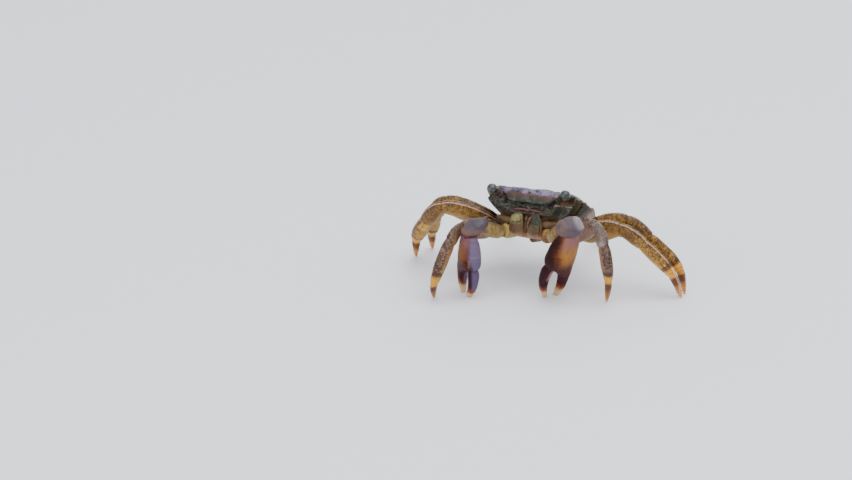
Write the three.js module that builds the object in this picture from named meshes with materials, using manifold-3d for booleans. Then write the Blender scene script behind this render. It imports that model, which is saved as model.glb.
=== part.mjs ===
// Shore crab (marbled rock crab), life size, standing with its front raised and both claws
// planted straight down. Millimetres, +Z up. The crab faces -Y; its own left is +X.
import * as THREE from 'three';
import Module from 'manifold-3d';

// ---- driving dimensions -------------------------------------------------------------------
const GAP = 0.3; // clearance left between neighbouring shell pieces
const BODY_PITCH = 19; // degrees, nose up
const BODY_HEIGHT = 33.7; // shell crown above the floor, before the pitch is applied

// Shell outline, left half, in body axes: zone, x, y, z. Front to rear.
const OUTLINE = [
  ['front', 0, -13.7, -4.3],
  ['front', 2.4, -14.0, -4.5],
  ['front', 5.0, -14.0, -4.5],
  ['front', 7.2, -13.7, -4.2],
  ['front', 8.6, -12.8, -3.5],
  ['orbit', 9.8, -10.6, -2.4],
  ['orbit', 11.6, -9.3, -1.8],
  ['orbit', 13.7, -8.8, -1.4],
  ['orbit', 15.4, -9.0, -1.0],
  ['side', 16.7, -9.9, -0.8],
  ['side', 16.8, -8.3, -1.6],
  ['side', 18.0, -7.1, -2.1],
  ['side', 17.9, -5.4, -2.6],
  ['side', 18.9, -3.9, -2.9],
  ['side', 18.7, -1.9, -3.6],
  ['side', 19.0, 1.2, -4.4],
  ['side', 18.7, 5.0, -5.3],
  ['side', 17.6, 8.8, -6.1],
  ['side', 15.4, 12.2, -6.6],
  ['rear', 12.2, 14.8, -6.7],
  ['rear', 9.0, 16.3, -6.2],
  ['rear', 6.0, 16.7, -5.8],
  ['rear', 3.0, 17.1, -5.5],
  ['rear', 0, 17.2, -5.4],
];
const CROWN = [0, 1.0, 0.4]; // highest point of the shell
// Each dorsal ring: share of the way out to the margin.
const DORSAL_RINGS = [0.35, 0.62, 0.82, 0.93];
// How flat the shell stays before it falls to the margin, by zone.
const FLATNESS = { front: 13, orbit: 6, side: 4.4, rear: 4 };
// Shell wall below the margin: [inset, z, squeeze]. Side and rear z are shares of the drop.
const WALL_FOOT = -10.9;
const WALL = {
  front: [
    [1.5, -5.2, 1],
    [1.3, -6.7, 1],
    [0.6, -8.4, 0.96],
    [1.9, -9.4, 0.9],
    [2.4, WALL_FOOT, 0.86],
  ],
  orbit: [
    [0.9, -3.1, 1],
    [-2.6, -4.8, 1],
    [-1.9, -7.2, 0.9],
    [-0.9, -9.3, 0.77],
    [0.2, WALL_FOOT, 0.68],
  ],
  side: [[0.8, 0.12, 1], [2.1, 0.34, 1], [3.9, 0.58, 1], [5.7, 0.8, 1], [7.2, 1, 1]],
  rear: [[0.5, 0.15, 1], [1.1, 0.35, 1], [1.8, 0.6, 1], [2.5, 0.8, 1], [3.1, 1, 1]],
};

// Underside: breastplate sections front to rear, y, half-width, top z, bottom z.
const BREAST = [
  [-10.4, 4.6, -11.4, -15.4],
  [-8.8, 7.2, -11.3, -17.3],
  [-5.0, 8.8, -11.2, -17.9],
  [0, 9.6, -11.2, -17.7],
  [5.0, 9.2, -11.2, -16.9],
  [9.5, 7.4, -11.2, -15.5],
  [13.0, 4.6, -11.3, -13.6],
];
const BREAST_SIDES = 16;
// Hip joints, left side, body axes: centre, outward direction, radius, length.
const HIPS = [
  { at: [7.0, -9.4, -15.6], to: [0.55, -0.8, -0.1], radius: 2.9, length: 2.4 },
  { at: [9.8, -4.6, -15.4], to: [0.95, -0.3, 0.05], radius: 2.7, length: 1.9 },
  { at: [10.4, -0.3, -15.1], to: [1, -0.05, 0.05], radius: 2.7, length: 2.0 },
  { at: [10.2, 4.2, -14.8], to: [0.98, 0.15, 0.05], radius: 2.7, length: 2.0 },
  { at: [8.9, 8.3, -14.3], to: [0.8, 0.6, 0.05], radius: 2.3, length: 1.9 },
];

// Tail flap folded under the body: centre-line y, z, half-width, rear to front.
const TAIL_PATH = [
  [17.4, -8.4, 5.6],
  [17.2, -10.8, 5.4],
  [15.6, -13.7, 4.8],
  [12.0, -16.5, 4.0],
  [6.8, -18.2, 3.3],
  [1.0, -18.8, 2.5],
  [-3.6, -18.9, 1.2],
];
const TAIL_THICKNESS = 0.8;

// Outer mouth plate, left: z, centre x, centre y, half-width.
const MOUTH_PLATE = [
  [-9.5, 3.3, -13.3, 1.3],
  [-11.0, 3.3, -13.6, 2.1],
  [-12.6, 3.05, -13.6, 2.4],
  [-14.6, 3.0, -13.1, 2.5],
  [-16.4, 3.2, -12.2, 1.9],
];
const MOUTH_PLATE_HALF_THICKNESS = 0.6;

const EYE_STALK = { from: [10.5, -12.0, -2.9], to: [12.5, -13.6, -1.3], radius: 1.2 };
const EYE = { centre: [13.9, -14.5, -0.3], radius: 2.1 };
const EYE_DROP = { left: 0, right: 0.9 }; // the right eye is held lower
const FEELER = {
  path: [[7.2, -14.0, -6.3], [8.8, -15.4, -6.6], [10.6, -16.7, -6.0], [12.0, -17.6, -4.8]],
  radii: [0.75, 0.5, 0.36, 0.28],
};

// Walking-leg joints on the floor frame: hip, knee, wrist, ankle, tip.
const LEGS = {
  left_leg_1: [
    [12.2, -9.7, 21.2], [26.5, -16.5, 28.3], [30.6, -20.2, 23.2],
    [32.0, -18.4, 9.5], [30.7, -15.6, 0],
  ],
  left_leg_2: [
    [13.2, -5.4, 20.2], [33.6, -9.6, 26.0], [42.0, -9.1, 21.3],
    [52.0, -5.7, 9.7], [55.0, -2.9, 0],
  ],
  left_leg_3: [
    [13.4, -1.0, 19.0], [34.2, -3.9, 26.9], [42.2, -2.9, 21.2],
    [53.6, -1.3, 9.8], [55.0, 1.4, 0],
  ],
  left_leg_4: [
    [11.6, 4.2, 17.4], [12.4, 19.8, 18.2], [10.4, 26.2, 15.2],
    [10.5, 33.0, 7.2], [11.5, 36.3, 0],
  ],
  right_leg_1: [
    [-12.3, -9.7, 21.2], [-21.9, -24.0, 24.2], [-23.3, -32.4, 22.0],
    [-27.2, -38.4, 7.7], [-29.3, -33.0, 0],
  ],
  right_leg_2: [
    [-13.2, -5.4, 20.4], [-33.0, -12.7, 27.0], [-40.4, -10.3, 19.6],
    [-47.2, -2.3, 8.7], [-49.3, 2.5, 0],
  ],
  right_leg_3: [
    [-13.4, -1.0, 19.2], [-34.2, -5.0, 26.0], [-40.2, -1.2, 19.3],
    [-44.8, 7.4, 8.2], [-46.3, 12.2, 0],
  ],
  right_leg_4: [
    [-11.6, 4.2, 17.8], [-17.0, 18.7, 20.0], [-20.0, 25.2, 15.8],
    [-22.5, 31.5, 7.6], [-23.5, 34.5, 0],
  ],
};
const LEG_SCALE = { 1: 0.9, 2: 1, 3: 1, 4: 0.8 };
// Leg pieces: share along the piece, then half-width above, half-width below, half-thickness.
const LEG_PIECES = {
  merus: [
    [0, 1.5, 1.5, 1.3],
    [0.12, 2.1, 3.0, 1.7],
    [0.34, 3.2, 5.3, 2.1],
    [0.6, 3.5, 5.4, 2.2],
    [0.84, 3.3, 4.2, 2.1],
    [1, 2.7, 2.1, 1.8],
  ],
  carpus: [
    [0, 2.6, 1.8, 1.7],
    [0.25, 2.9, 2.5, 2.1],
    [0.62, 3.0, 2.9, 2.2],
    [0.9, 2.7, 2.5, 2.0],
    [1, 2.2, 1.9, 1.6],
  ],
  propodus: [
    [0, 2.1, 1.8, 1.6],
    [0.16, 2.8, 2.7, 2.0],
    [0.5, 2.8, 2.8, 2.0],
    [0.84, 2.3, 2.2, 1.6],
    [1, 1.6, 1.4, 1.2],
  ],
  dactyl: [
    [0, 1.35, 1.2, 1.05],
    [0.14, 1.5, 1.4, 1.15],
    [0.5, 1.2, 1.1, 0.9],
    [0.82, 0.75, 0.7, 0.6],
    [1, 0.36, 0.36, 0.36],
  ],
};
const LEG_SIDES = 10;
// How far each piece holds the direction of its joints before it straightens out.
const LEG_FIRMNESS = { merus: 0.28, carpus: 0.36, propodus: 0.26, dactyl: 0.3 };

// Claw limbs on the floor frame: shoulder, middle of the wrist piece, point between the tips.
// wristSize is half-width, half-height and half-depth; wristAxis turns its long way. The arm
// and the hand start at wristReach from its middle.
const CLAWS = {
  left: {
    shoulder: [9.5, -16.5, 22.6], wrist: [19.6, -26.5, 31.0],
    tip: [8.4, -16.0, 0], across: [-0.73, -0.68, 0], out: [0.68, -0.73, 0],
    wristSize: [4.9, 4.0, 3.7], wristReach: 3.7,
  },
  right: {
    shoulder: [-9.5, -16.5, 22.2], wrist: [-15.0, -29.6, 27.5],
    tip: [-18.4, -25.0, 0], across: [0.73, -0.68, 0], out: [-0.68, -0.73, 0],
    wristSize: [5.3, 2.8, 2.8], wristReach: 3.7, wristAxis: [0.733, 0.473, 0.493],
  },
};
const PALM_FORWARD = 1.6; // the hand hangs this far forward of the middle of the wrist
// Claw pieces: share along the hand, offset across, half-height, half-thickness.
const PALM = [
  [0.005, 0, 4.0, 2.4],
  [0.06, 0.1, 4.9, 2.9],
  [0.2, 0.5, 5.7, 3.4],
  [0.35, 0.6, 6.0, 3.6],
  [0.45, 0.3, 5.6, 3.3],
  [0.5, -1.9, 3.5, 3.0],
  [0.64, -3.2, 2.2, 2.2],
  [0.8, -3.3, 1.7, 1.7],
  [0.94, -2.6, 1.1, 1.3],
  [1, -2.2, 0.75, 0.9],
];
const FINGER = [
  [0.495, 3.9, 1.8, 1.9],
  [0.54, 4.3, 2.2, 2.2],
  [0.68, 4.3, 1.9, 1.9],
  [0.82, 3.6, 1.5, 1.6],
  [0.94, 2.5, 1.1, 1.2],
  [1, 1.9, 0.75, 0.9],
];
// Share along the arm, half-height above, half-height below, half-width.
const ARM = [
  [0, 1.9, 2.2, 1.8],
  [0.2, 2.3, 2.8, 2.2],
  [0.55, 2.7, 2.7, 2.4],
  [0.85, 2.8, 1.6, 2.4],
  [1, 2.2, 1.1, 2.0],
];

// ---- colours ------------------------------------------------------------------------------
const LOOKS = {
  shell: { color: 0x5b4c5c, roughness: 0.42 },
  underside: { color: 0xa98b5a, roughness: 0.5 },
  mouth: { color: 0x5d5e45, roughness: 0.5 },
  leg: { color: 0x8a6a34, roughness: 0.45 },
  leg_tip: { color: 0x8c4a22, roughness: 0.4 },
  claw: { color: 0x7a5560, roughness: 0.3 },
  claw_finger: { color: 0x4a2428, roughness: 0.3 },
  eye_stalk: { color: 0x6a5a45, roughness: 0.45 },
  eye: { color: 0x5c6660, roughness: 0.2 },
};

// ---- vector helpers -----------------------------------------------------------------------
const vec = (p) => new THREE.Vector3(...p);
const along = (a, b, t) => a.clone().lerp(b, t);
const mirror = (p) => [-p[0], p[1], p[2]];

function bodyToFloor(point) {
  const tilt = THREE.MathUtils.degToRad(-BODY_PITCH);
  return point.clone().applyAxisAngle(new THREE.Vector3(1, 0, 0), tilt)
    .add(new THREE.Vector3(0, 0, BODY_HEIGHT));
}

// ---- closed skins -------------------------------------------------------------------------
// Skins a stack of rings, each the same number of points, and closes both ends with a fan.
function skin(rings, firstPole, lastPole) {
  const sides = rings[0].length;
  const points = rings.flat();
  const first = points.push(firstPole) - 1;
  const last = points.push(lastPole) - 1;
  const faces = [];
  for (let r = 0; r + 1 < rings.length; r += 1) {
    for (let i = 0; i < sides; i += 1) {
      const a = r * sides + i;
      const b = r * sides + ((i + 1) % sides);
      faces.push(a, b, b + sides, a, b + sides, a + sides);
    }
  }
  const top = (rings.length - 1) * sides;
  for (let i = 0; i < sides; i += 1) {
    const next = (i + 1) % sides;
    faces.push(first, next, i);
    faces.push(last, top + i, top + next);
  }
  return outward(points, faces);
}

// Turns the faces to point outward, judged by the sign of the enclosed volume.
function outward(points, faces) {
  let volume = 0;
  for (let f = 0; f < faces.length; f += 3) {
    const [a, b, c] = [points[faces[f]], points[faces[f + 1]], points[faces[f + 2]]];
    volume += a.dot(b.clone().cross(c));
  }
  if (volume < 0) {
    for (let f = 0; f < faces.length; f += 3) {
      [faces[f + 1], faces[f + 2]] = [faces[f + 2], faces[f + 1]];
    }
  }
  const geometry = new THREE.BufferGeometry();
  geometry.setAttribute('position', new THREE.Float32BufferAttribute(
    points.flatMap((p) => [p.x, p.y, p.z]), 3));
  geometry.setIndex(faces);
  return geometry;
}

const middle = (ring) => ring.reduce((sum, p) => sum.add(p), new THREE.Vector3())
  .divideScalar(ring.length);

// One rounded ring: up and side are the ring axes; above and below are the two half-heights.
function ringAt(centre, up, side, above, below, halfSide, sides) {
  const ring = [];
  for (let i = 0; i < sides; i += 1) {
    const angle = (i / sides) * Math.PI * 2;
    const rise = Math.sin(angle) * (Math.sin(angle) > 0 ? above : below);
    const reach = Math.cos(angle) * halfSide;
    ring.push(centre.clone().addScaledVector(up, rise).addScaledVector(side, reach));
  }
  return ring;
}

function layOnFloor(ring) {
  ring.forEach((point) => { point.z = 0; });
  return ring;
}

// ---- shell --------------------------------------------------------------------------------
function shellStations() {
  const left = OUTLINE.map(([zone, x, y, z]) => ({ zone, margin: vec([x, y, z]) }));
  const right = left.slice(1, -1).reverse().map(({ zone, margin }) => (
    { zone, margin: vec(mirror(margin.toArray())) }));
  return left.concat(right);
}

function wallPoint({ zone, margin }, step) {
  const [inset, level, squeeze] = WALL[zone][step];
  const push = new THREE.Vector3(margin.x / 338, (margin.y - 1) / 225, 0).normalize();
  if (zone === 'orbit') push.set(Math.sign(margin.x) * 0.25, -0.97, 0);
  const share = zone === 'front' || zone === 'orbit';
  const z = share ? level : margin.z + (WALL_FOOT - margin.z) * level;
  return new THREE.Vector3((margin.x - push.x * inset) * squeeze, margin.y - push.y * inset, z);
}

function dorsalPoint({ zone, margin }, share) {
  const crown = vec(CROWN);
  const point = along(crown, margin, share);
  point.z = crown.z + (margin.z - crown.z) * share ** FLATNESS[zone];
  return point;
}

function makeShell() {
  const stations = shellStations();
  const rings = DORSAL_RINGS.map((share) => stations.map((s) => dorsalPoint(s, share)));
  rings.push(stations.map((s) => s.margin.clone()));
  for (let step = 0; step < WALL.side.length; step += 1) {
    rings.push(stations.map((s) => wallPoint(s, step)));
  }
  const foot = new THREE.Vector3(0, 1, WALL_FOOT);
  return skin(rings.map((ring) => ring.map(bodyToFloor)),
    bodyToFloor(vec(CROWN)), bodyToFloor(foot));
}

// ---- underside ----------------------------------------------------------------------------
function makeBreast() {
  const rings = BREAST.map(([y, half, top, bottom]) => {
    const centre = new THREE.Vector3(0, y, (top + bottom) / 2);
    const ring = [];
    for (let i = 0; i < BREAST_SIDES; i += 1) {
      const angle = ((i + 0.5) / BREAST_SIDES) * Math.PI * 2;
      const reach = Math.sign(Math.cos(angle)) * Math.abs(Math.cos(angle)) ** 0.6;
      const rise = Math.sign(Math.sin(angle)) * Math.abs(Math.sin(angle)) ** 0.6;
      ring.push(new THREE.Vector3(centre.x + reach * half, y,
        centre.z + rise * (top - bottom) / 2));
    }
    return ring;
  });
  return skin(rings, middle(rings[0]), middle(rings[rings.length - 1]));
}

function makeHip({ at, to, radius, length }, flip) {
  const centre = vec(flip ? mirror(at) : at);
  const axis = vec(flip ? mirror(to) : to).normalize();
  const up = new THREE.Vector3(0, 0, 1);
  const side = up.clone().cross(axis).normalize();
  up.copy(axis).cross(side).normalize();
  const rings = [[-1.4, 0.8], [0.2, 1], [0.75, 0.92], [1, 0.66]].map(([share, size]) => ringAt(
    centre.clone().addScaledVector(axis, share * length),
    up, side, radius * size, radius * size, radius * size * 0.88, LEG_SIDES));
  return skin(rings, middle(rings[0]), middle(rings[3]));
}

async function makeUnderside() {
  const wasm = await Module();
  wasm.setup();
  const solid = (geometry) => new wasm.Manifold(new wasm.Mesh({
    numProp: 3,
    vertProperties: new Float32Array(geometry.attributes.position.array),
    triVerts: new Uint32Array(geometry.index.array),
  }));
  let joined = solid(makeBreast());
  HIPS.forEach((hip) => {
    joined = joined.add(solid(makeHip(hip, false))).add(solid(makeHip(hip, true)));
  });
  const mesh = joined.getMesh();
  const points = [];
  for (let v = 0; v < mesh.vertProperties.length; v += mesh.numProp) {
    points.push(bodyToFloor(vec(Array.from(mesh.vertProperties.slice(v, v + 3)))));
  }
  return outward(points, Array.from(mesh.triVerts));
}

function makeTail() {
  const rings = TAIL_PATH.map(([y, z, half], i) => {
    const before = TAIL_PATH[Math.max(i - 1, 0)];
    const after = TAIL_PATH[Math.min(i + 1, TAIL_PATH.length - 1)];
    const run = new THREE.Vector3(0, after[0] - before[0], after[1] - before[1]).normalize();
    const out = new THREE.Vector3(0, run.z, -run.y);
    return ringAt(new THREE.Vector3(0, y, z), out, new THREE.Vector3(1, 0, 0),
      TAIL_THICKNESS / 2, TAIL_THICKNESS / 2, half, LEG_SIDES).map(bodyToFloor);
  });
  return skin(rings, middle(rings[0]), middle(rings[rings.length - 1]));
}

// ---- face ---------------------------------------------------------------------------------
function makeMouthPlate(sign) {
  const rings = MOUTH_PLATE.map(([z, x, y, half]) => ringAt(
    new THREE.Vector3(sign * x, y, z), new THREE.Vector3(0, -1, 0), new THREE.Vector3(1, 0, 0),
    MOUTH_PLATE_HALF_THICKNESS, MOUTH_PLATE_HALF_THICKNESS, half, LEG_SIDES).map(bodyToFloor));
  return skin(rings, middle(rings[0]), middle(rings[rings.length - 1]));
}

// A round-section horn through a chain of points.
function makeHorn(path, radii, sides) {
  const rings = path.map((centre, i) => {
    const run = path[Math.min(i + 1, path.length - 1)].clone()
      .sub(path[Math.max(i - 1, 0)]).normalize();
    const side = new THREE.Vector3(0, 0, 1).cross(run).normalize();
    const up = run.clone().cross(side);
    return ringAt(centre, up, side, radii[i], radii[i], radii[i], sides);
  });
  return skin(rings, middle(rings[0]), middle(rings[rings.length - 1]));
}

// A point of the eye or its stalk on one side, lowered by that eye's drop.
const onSide = ([x, y, z], sign, drop = 0) => bodyToFloor(vec([sign * x, y, z - drop]));

function makeEyeStalk(sign, drop) {
  const from = onSide(EYE_STALK.from, sign, drop * 0.4);
  const to = onSide(EYE_STALK.to, sign, drop);
  const r = EYE_STALK.radius;
  const path = [0, 0.15, 0.6, 0.9, 1].map((t) => along(from, to, t));
  return makeHorn(path, [r * 0.7, r, r * 0.95, r * 1.2, r * 1.1], 8);
}

// The eye bulb sits as a dome over the end of its stalk.
function makeEye(sign, drop) {
  const centre = onSide(EYE.centre, sign, drop);
  const stalkEnd = onSide(EYE_STALK.to, sign, drop);
  const axis = centre.clone().sub(stalkEnd).normalize();
  const start = stalkEnd.clone().addScaledVector(axis, GAP);
  const far = centre.clone().addScaledVector(axis, EYE.radius);
  const path = [0, 0.22, 0.5, 0.78, 0.95].map((t) => along(start, far, t));
  const radii = [0.62, 0.92, 1, 0.74, 0.36].map((share) => share * EYE.radius * 0.95);
  return makeHorn(path, radii, LEG_SIDES);
}

function makeFeeler(sign) {
  const path = FEELER.path.map((p) => onSide(p, sign));
  return makeHorn(path, FEELER.radii, 6);
}

// ---- walking legs -------------------------------------------------------------------------
// The centre-line of each piece leaves and meets its joints along the line that halves the bend.
function bentLine(a, b, leave, arrive, firmness) {
  const pull = a.distanceTo(b) * firmness;
  return new THREE.CubicBezierCurve3(a, a.clone().addScaledVector(leave, pull),
    b.clone().addScaledVector(arrive, -pull), b);
}

function makeLegPiece(rows, line, side, scale, standing) {
  const length = line.getLength();
  const start = (GAP * 0.55) / length;
  const end = standing ? 1 : 1 - start;
  const rings = rows.map(([share, above, below, half]) => {
    const t = start + (end - start) * share;
    const up = line.getTangent(t).cross(side).normalize();
    return ringAt(line.getPoint(t), up, side, above * scale, below * scale, half * scale,
      LEG_SIDES);
  });
  if (standing) layOnFloor(rings[rings.length - 1]);
  return skin(rings, middle(rings[0]), middle(rings[rings.length - 1]));
}

function makeLeg(name, group) {
  const joints = LEGS[name].map(vec);
  const scale = LEG_SCALE[name.slice(-1)];
  const axes = joints.slice(1).map((p, i) => p.clone().sub(joints[i]).normalize());
  const side = axes[0].clone().cross(joints[4].clone().sub(joints[0])).normalize();
  const halving = (i) => axes[Math.max(i - 1, 0)].clone().add(axes[Math.min(i, 3)]).normalize();
  Object.keys(LEG_PIECES).forEach((piece, i) => {
    const line = bentLine(joints[i], joints[i + 1], halving(i), halving(i + 1),
      LEG_FIRMNESS[piece]);
    const geometry = makeLegPiece(LEG_PIECES[piece], line, side, scale, piece === 'dactyl');
    addNode(group, `${name}_${piece}`, geometry, piece === 'dactyl' ? 'leg_tip' : 'leg');
  });
}

// ---- claws --------------------------------------------------------------------------------
function handAxis({ wrist, tip }) {
  return vec(tip).sub(vec(wrist)).normalize();
}

function makeHandPiece(rows, claw) {
  const { wrist, tip, across, out, wristReach } = claw;
  const axis = handAxis(claw);
  const base = vec(wrist).addScaledVector(axis, wristReach + GAP)
    .addScaledVector(vec(out), PALM_FORWARD);
  const end = vec(tip).addScaledVector(vec(out), PALM_FORWARD);
  const up = vec(across).addScaledVector(axis, -vec(across).dot(axis)).normalize();
  const side = vec(out).addScaledVector(axis, -vec(out).dot(axis)).normalize();
  const rings = rows.map(([share, offset, height, thick]) => ringAt(
    along(base, end, share).addScaledVector(up, offset), up, side, height, height, thick, 12));
  layOnFloor(rings[rings.length - 1]);
  return skin(rings, middle(rings[0]), middle(rings[rings.length - 1]));
}

function makeArm({ shoulder, wrist, wristReach }) {
  const a = vec(shoulder);
  const axis = vec(wrist).sub(a).normalize();
  const b = vec(wrist).addScaledVector(axis, -wristReach - GAP);
  const side = new THREE.Vector3(0, 0, 1).cross(axis).normalize();
  const up = axis.clone().cross(side);
  const rings = ARM.map(([t, above, below, wide]) => ringAt(
    along(a, b, t), up, side, above, below, wide, LEG_SIDES));
  return skin(rings, middle(rings[0]), middle(rings[rings.length - 1]));
}

// The wrist piece is a rounded wedge that turns the arm down into the hand.
function makeWrist(claw) {
  const centre = vec(claw.wrist);
  const arm = vec(claw.wrist).sub(vec(claw.shoulder)).normalize();
  const hand = handAxis(claw);
  const [halfWidth, halfHeight, halfDepth] = claw.wristSize;
  const across = claw.wristAxis ? vec(claw.wristAxis) : arm.clone().cross(hand);
  across.normalize();
  const front = arm.clone().sub(hand);
  front.addScaledVector(across, -front.dot(across)).normalize();
  const depth = across.clone().cross(front);
  const rings = [-72, -48, -22, 0, 22, 48, 72].map((degrees) => {
    const turn = THREE.MathUtils.degToRad(degrees);
    const size = Math.cos(turn);
    return ringAt(centre.clone().addScaledVector(across, Math.sin(turn) * halfWidth),
      front, depth, halfHeight * size, halfDepth * 0.9 * size, halfDepth * size, LEG_SIDES);
  });
  return skin(rings, middle(rings[0]), middle(rings[rings.length - 1]));
}

// ---- assembly -----------------------------------------------------------------------------
function addNode(group, name, geometry, look) {
  geometry.computeVertexNormals();
  const material = new THREE.MeshStandardMaterial({ ...LOOKS[look], metalness: 0 });
  const mesh = new THREE.Mesh(geometry, material);
  mesh.name = name;
  group.add(mesh);
}

const crab = new THREE.Group();
crab.name = 'shore_crab';
addNode(crab, 'carapace', makeShell(), 'shell');
addNode(crab, 'underside', await makeUnderside(), 'underside');
addNode(crab, 'tail_flap', makeTail(), 'underside');
[['left', 1], ['right', -1]].forEach(([which, sign]) => {
  addNode(crab, `${which}_mouth_plate`, makeMouthPlate(sign), 'mouth');
  addNode(crab, `${which}_eye_stalk`, makeEyeStalk(sign, EYE_DROP[which]), 'eye_stalk');
  addNode(crab, `${which}_eye`, makeEye(sign, EYE_DROP[which]), 'eye');
  addNode(crab, `${which}_feeler`, makeFeeler(sign), 'eye_stalk');
  const claw = CLAWS[which];
  addNode(crab, `${which}_claw_arm`, makeArm(claw), 'claw');
  addNode(crab, `${which}_claw_wrist`, makeWrist(claw), 'claw');
  addNode(crab, `${which}_claw_palm`, makeHandPiece(PALM, claw), 'claw');
  addNode(crab, `${which}_claw_finger`, makeHandPiece(FINGER, claw), 'claw_finger');
});
Object.keys(LEGS).forEach((name) => makeLeg(name, crab));

// The middle of the crab's footprint becomes the origin.
const box = new THREE.Box3().setFromObject(crab);
const shift = new THREE.Vector3((box.min.x + box.max.x) / 2, (box.min.y + box.max.y) / 2, 0);
crab.children.forEach((mesh) => mesh.geometry.translate(-shift.x, -shift.y, 0));

export default crab;
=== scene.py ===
import math
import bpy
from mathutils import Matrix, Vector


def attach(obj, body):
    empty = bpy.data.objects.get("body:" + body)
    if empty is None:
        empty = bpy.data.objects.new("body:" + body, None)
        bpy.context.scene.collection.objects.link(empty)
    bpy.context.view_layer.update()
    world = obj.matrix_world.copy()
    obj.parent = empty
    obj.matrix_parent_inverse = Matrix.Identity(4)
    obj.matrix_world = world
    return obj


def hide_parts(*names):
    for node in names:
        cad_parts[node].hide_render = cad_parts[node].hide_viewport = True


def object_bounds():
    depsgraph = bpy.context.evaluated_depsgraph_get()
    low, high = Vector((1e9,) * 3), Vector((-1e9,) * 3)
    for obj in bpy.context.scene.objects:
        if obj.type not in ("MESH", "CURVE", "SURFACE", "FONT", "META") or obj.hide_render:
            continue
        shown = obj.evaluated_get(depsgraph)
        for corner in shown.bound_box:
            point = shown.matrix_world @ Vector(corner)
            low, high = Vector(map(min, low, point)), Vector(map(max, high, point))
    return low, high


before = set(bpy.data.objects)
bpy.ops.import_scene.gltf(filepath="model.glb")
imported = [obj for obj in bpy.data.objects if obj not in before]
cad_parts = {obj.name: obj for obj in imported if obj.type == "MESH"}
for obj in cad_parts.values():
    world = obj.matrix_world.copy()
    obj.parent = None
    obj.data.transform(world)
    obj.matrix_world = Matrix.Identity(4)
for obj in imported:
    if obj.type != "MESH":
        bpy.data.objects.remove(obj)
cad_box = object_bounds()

from types import SimpleNamespace

import bpy
import numpy as np
from mathutils import Matrix, Vector

# Shore crab: shell, face, underside, claws, walking legs and bristles.
# Lengths are millimetres in the crab's own frame: it faces -Y, its left is +X, +Z is up.
# Body points are placed as if the shell were level, and pitched() then tips them nose up.

MM = 0.001
FOOTPRINT = np.array((3.058, -1.802, 0.0))  # middle of the footprint, which is the row's origin
BODY_PITCH = math.radians(19)
BODY_HEIGHT = 33.7
GAP = 0.3

# ---- driving dimensions -------------------------------------------------------------------
# These are the sizes of the solids, except that the hands, mouth plates and leg pieces are
# rounder here. Other departures from the solids are named values beside the piece they change.
OUTLINE = [  # edge of the left half from the front to the rear: zone, x, y, z
    ("front", 0, -13.7, -4.3), ("front", 2.4, -14.0, -4.5), ("front", 5.0, -14.0, -4.5),
    ("front", 7.2, -13.7, -4.2), ("front", 8.6, -12.8, -3.5),
    ("orbit", 9.8, -10.6, -2.4), ("orbit", 11.6, -9.3, -1.8), ("orbit", 13.7, -8.8, -1.4),
    ("orbit", 15.4, -9.0, -1.0),
    ("side", 16.7, -9.9, -0.8), ("side", 16.8, -8.3, -1.6), ("side", 18.0, -7.1, -2.1),
    ("side", 17.9, -5.4, -2.6), ("side", 18.9, -3.9, -2.9), ("side", 18.7, -1.9, -3.6),
    ("side", 19.0, 1.2, -4.4), ("side", 18.7, 5.0, -5.3), ("side", 17.6, 8.8, -6.1),
    ("side", 15.4, 12.2, -6.6),
    ("rear", 12.2, 14.8, -6.7), ("rear", 9.0, 16.3, -6.2), ("rear", 6.0, 16.7, -5.8),
    ("rear", 3.0, 17.1, -5.5), ("rear", 0, 17.2, -5.4),
]
TOOTH_STATIONS = (9, 11, 13)  # tips of the three teeth on each side edge
CROWN = (0, 1.0, 0.4)  # highest point of the back
FLATNESS = {"front": 13, "orbit": 6, "side": 4.4, "rear": 4}  # how late the back turns down
WALL_FOOT = -10.9
WALL = {  # below the edge: inset, level, width kept. Sides and rear give level as a share
    "front": [(1.5, -5.2, 1), (1.3, -6.7, 1), (0.6, -8.4, 0.96), (1.9, -9.4, 0.9),
              (2.4, WALL_FOOT, 0.86)],
    "orbit": [(0.9, -3.1, 1), (-2.6, -4.8, 1), (-1.9, -7.2, 0.9), (-0.9, -9.3, 0.77),
              (0.2, WALL_FOOT, 0.68)],
    "side": [(0.8, 0.12, 1), (2.1, 0.34, 1), (3.9, 0.58, 1), (5.7, 0.8, 1), (7.2, 1, 1)],
    "rear": [(0.5, 0.15, 1), (1.1, 0.35, 1), (1.8, 0.6, 1), (2.5, 0.8, 1), (3.1, 1, 1)],
}
BREAST = [  # y, half-width, top, bottom
    (-10.4, 4.6, -11.4, -15.4), (-8.8, 7.2, -11.3, -17.3), (-5.0, 8.8, -11.2, -17.9),
    (0, 9.6, -11.2, -17.7), (5.0, 9.2, -11.2, -16.9), (9.5, 7.4, -11.2, -15.5),
    (13.0, 4.6, -11.3, -13.6),
]
HIPS = [  # claw and four legs: centre, direction, radius, length
    ((7.0, -9.4, -15.6), (0.55, -0.8, -0.1), 2.9, 2.4),
    ((9.8, -4.6, -15.4), (0.95, -0.3, 0.05), 2.7, 1.9),
    ((10.4, -0.3, -15.1), (1, -0.05, 0.05), 2.7, 2.0),
    ((10.2, 4.2, -14.8), (0.98, 0.15, 0.05), 2.7, 2.0),
    ((8.9, 8.3, -14.3), (0.8, 0.6, 0.05), 2.3, 1.9),
]
TAIL_PATH = [  # y, z, half-width, from the shell's rear edge round to between the legs
    (17.4, -8.4, 5.6), (17.2, -10.8, 5.4), (15.6, -13.7, 4.8), (12.0, -16.5, 4.0),
    (6.8, -18.2, 3.3), (1.0, -18.8, 2.5), (-3.6, -18.9, 1.2),
]
MOUTH_PLATE = [  # z, x of the middle, y, half-width
    (-8.5, 3.3, -13.3, 1.5), (-10.6, 3.3, -13.6, 2.1), (-12.6, 3.05, -13.6, 2.4),
    (-14.6, 3.0, -13.1, 2.5), (-16.4, 3.2, -12.2, 1.9),
]
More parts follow.
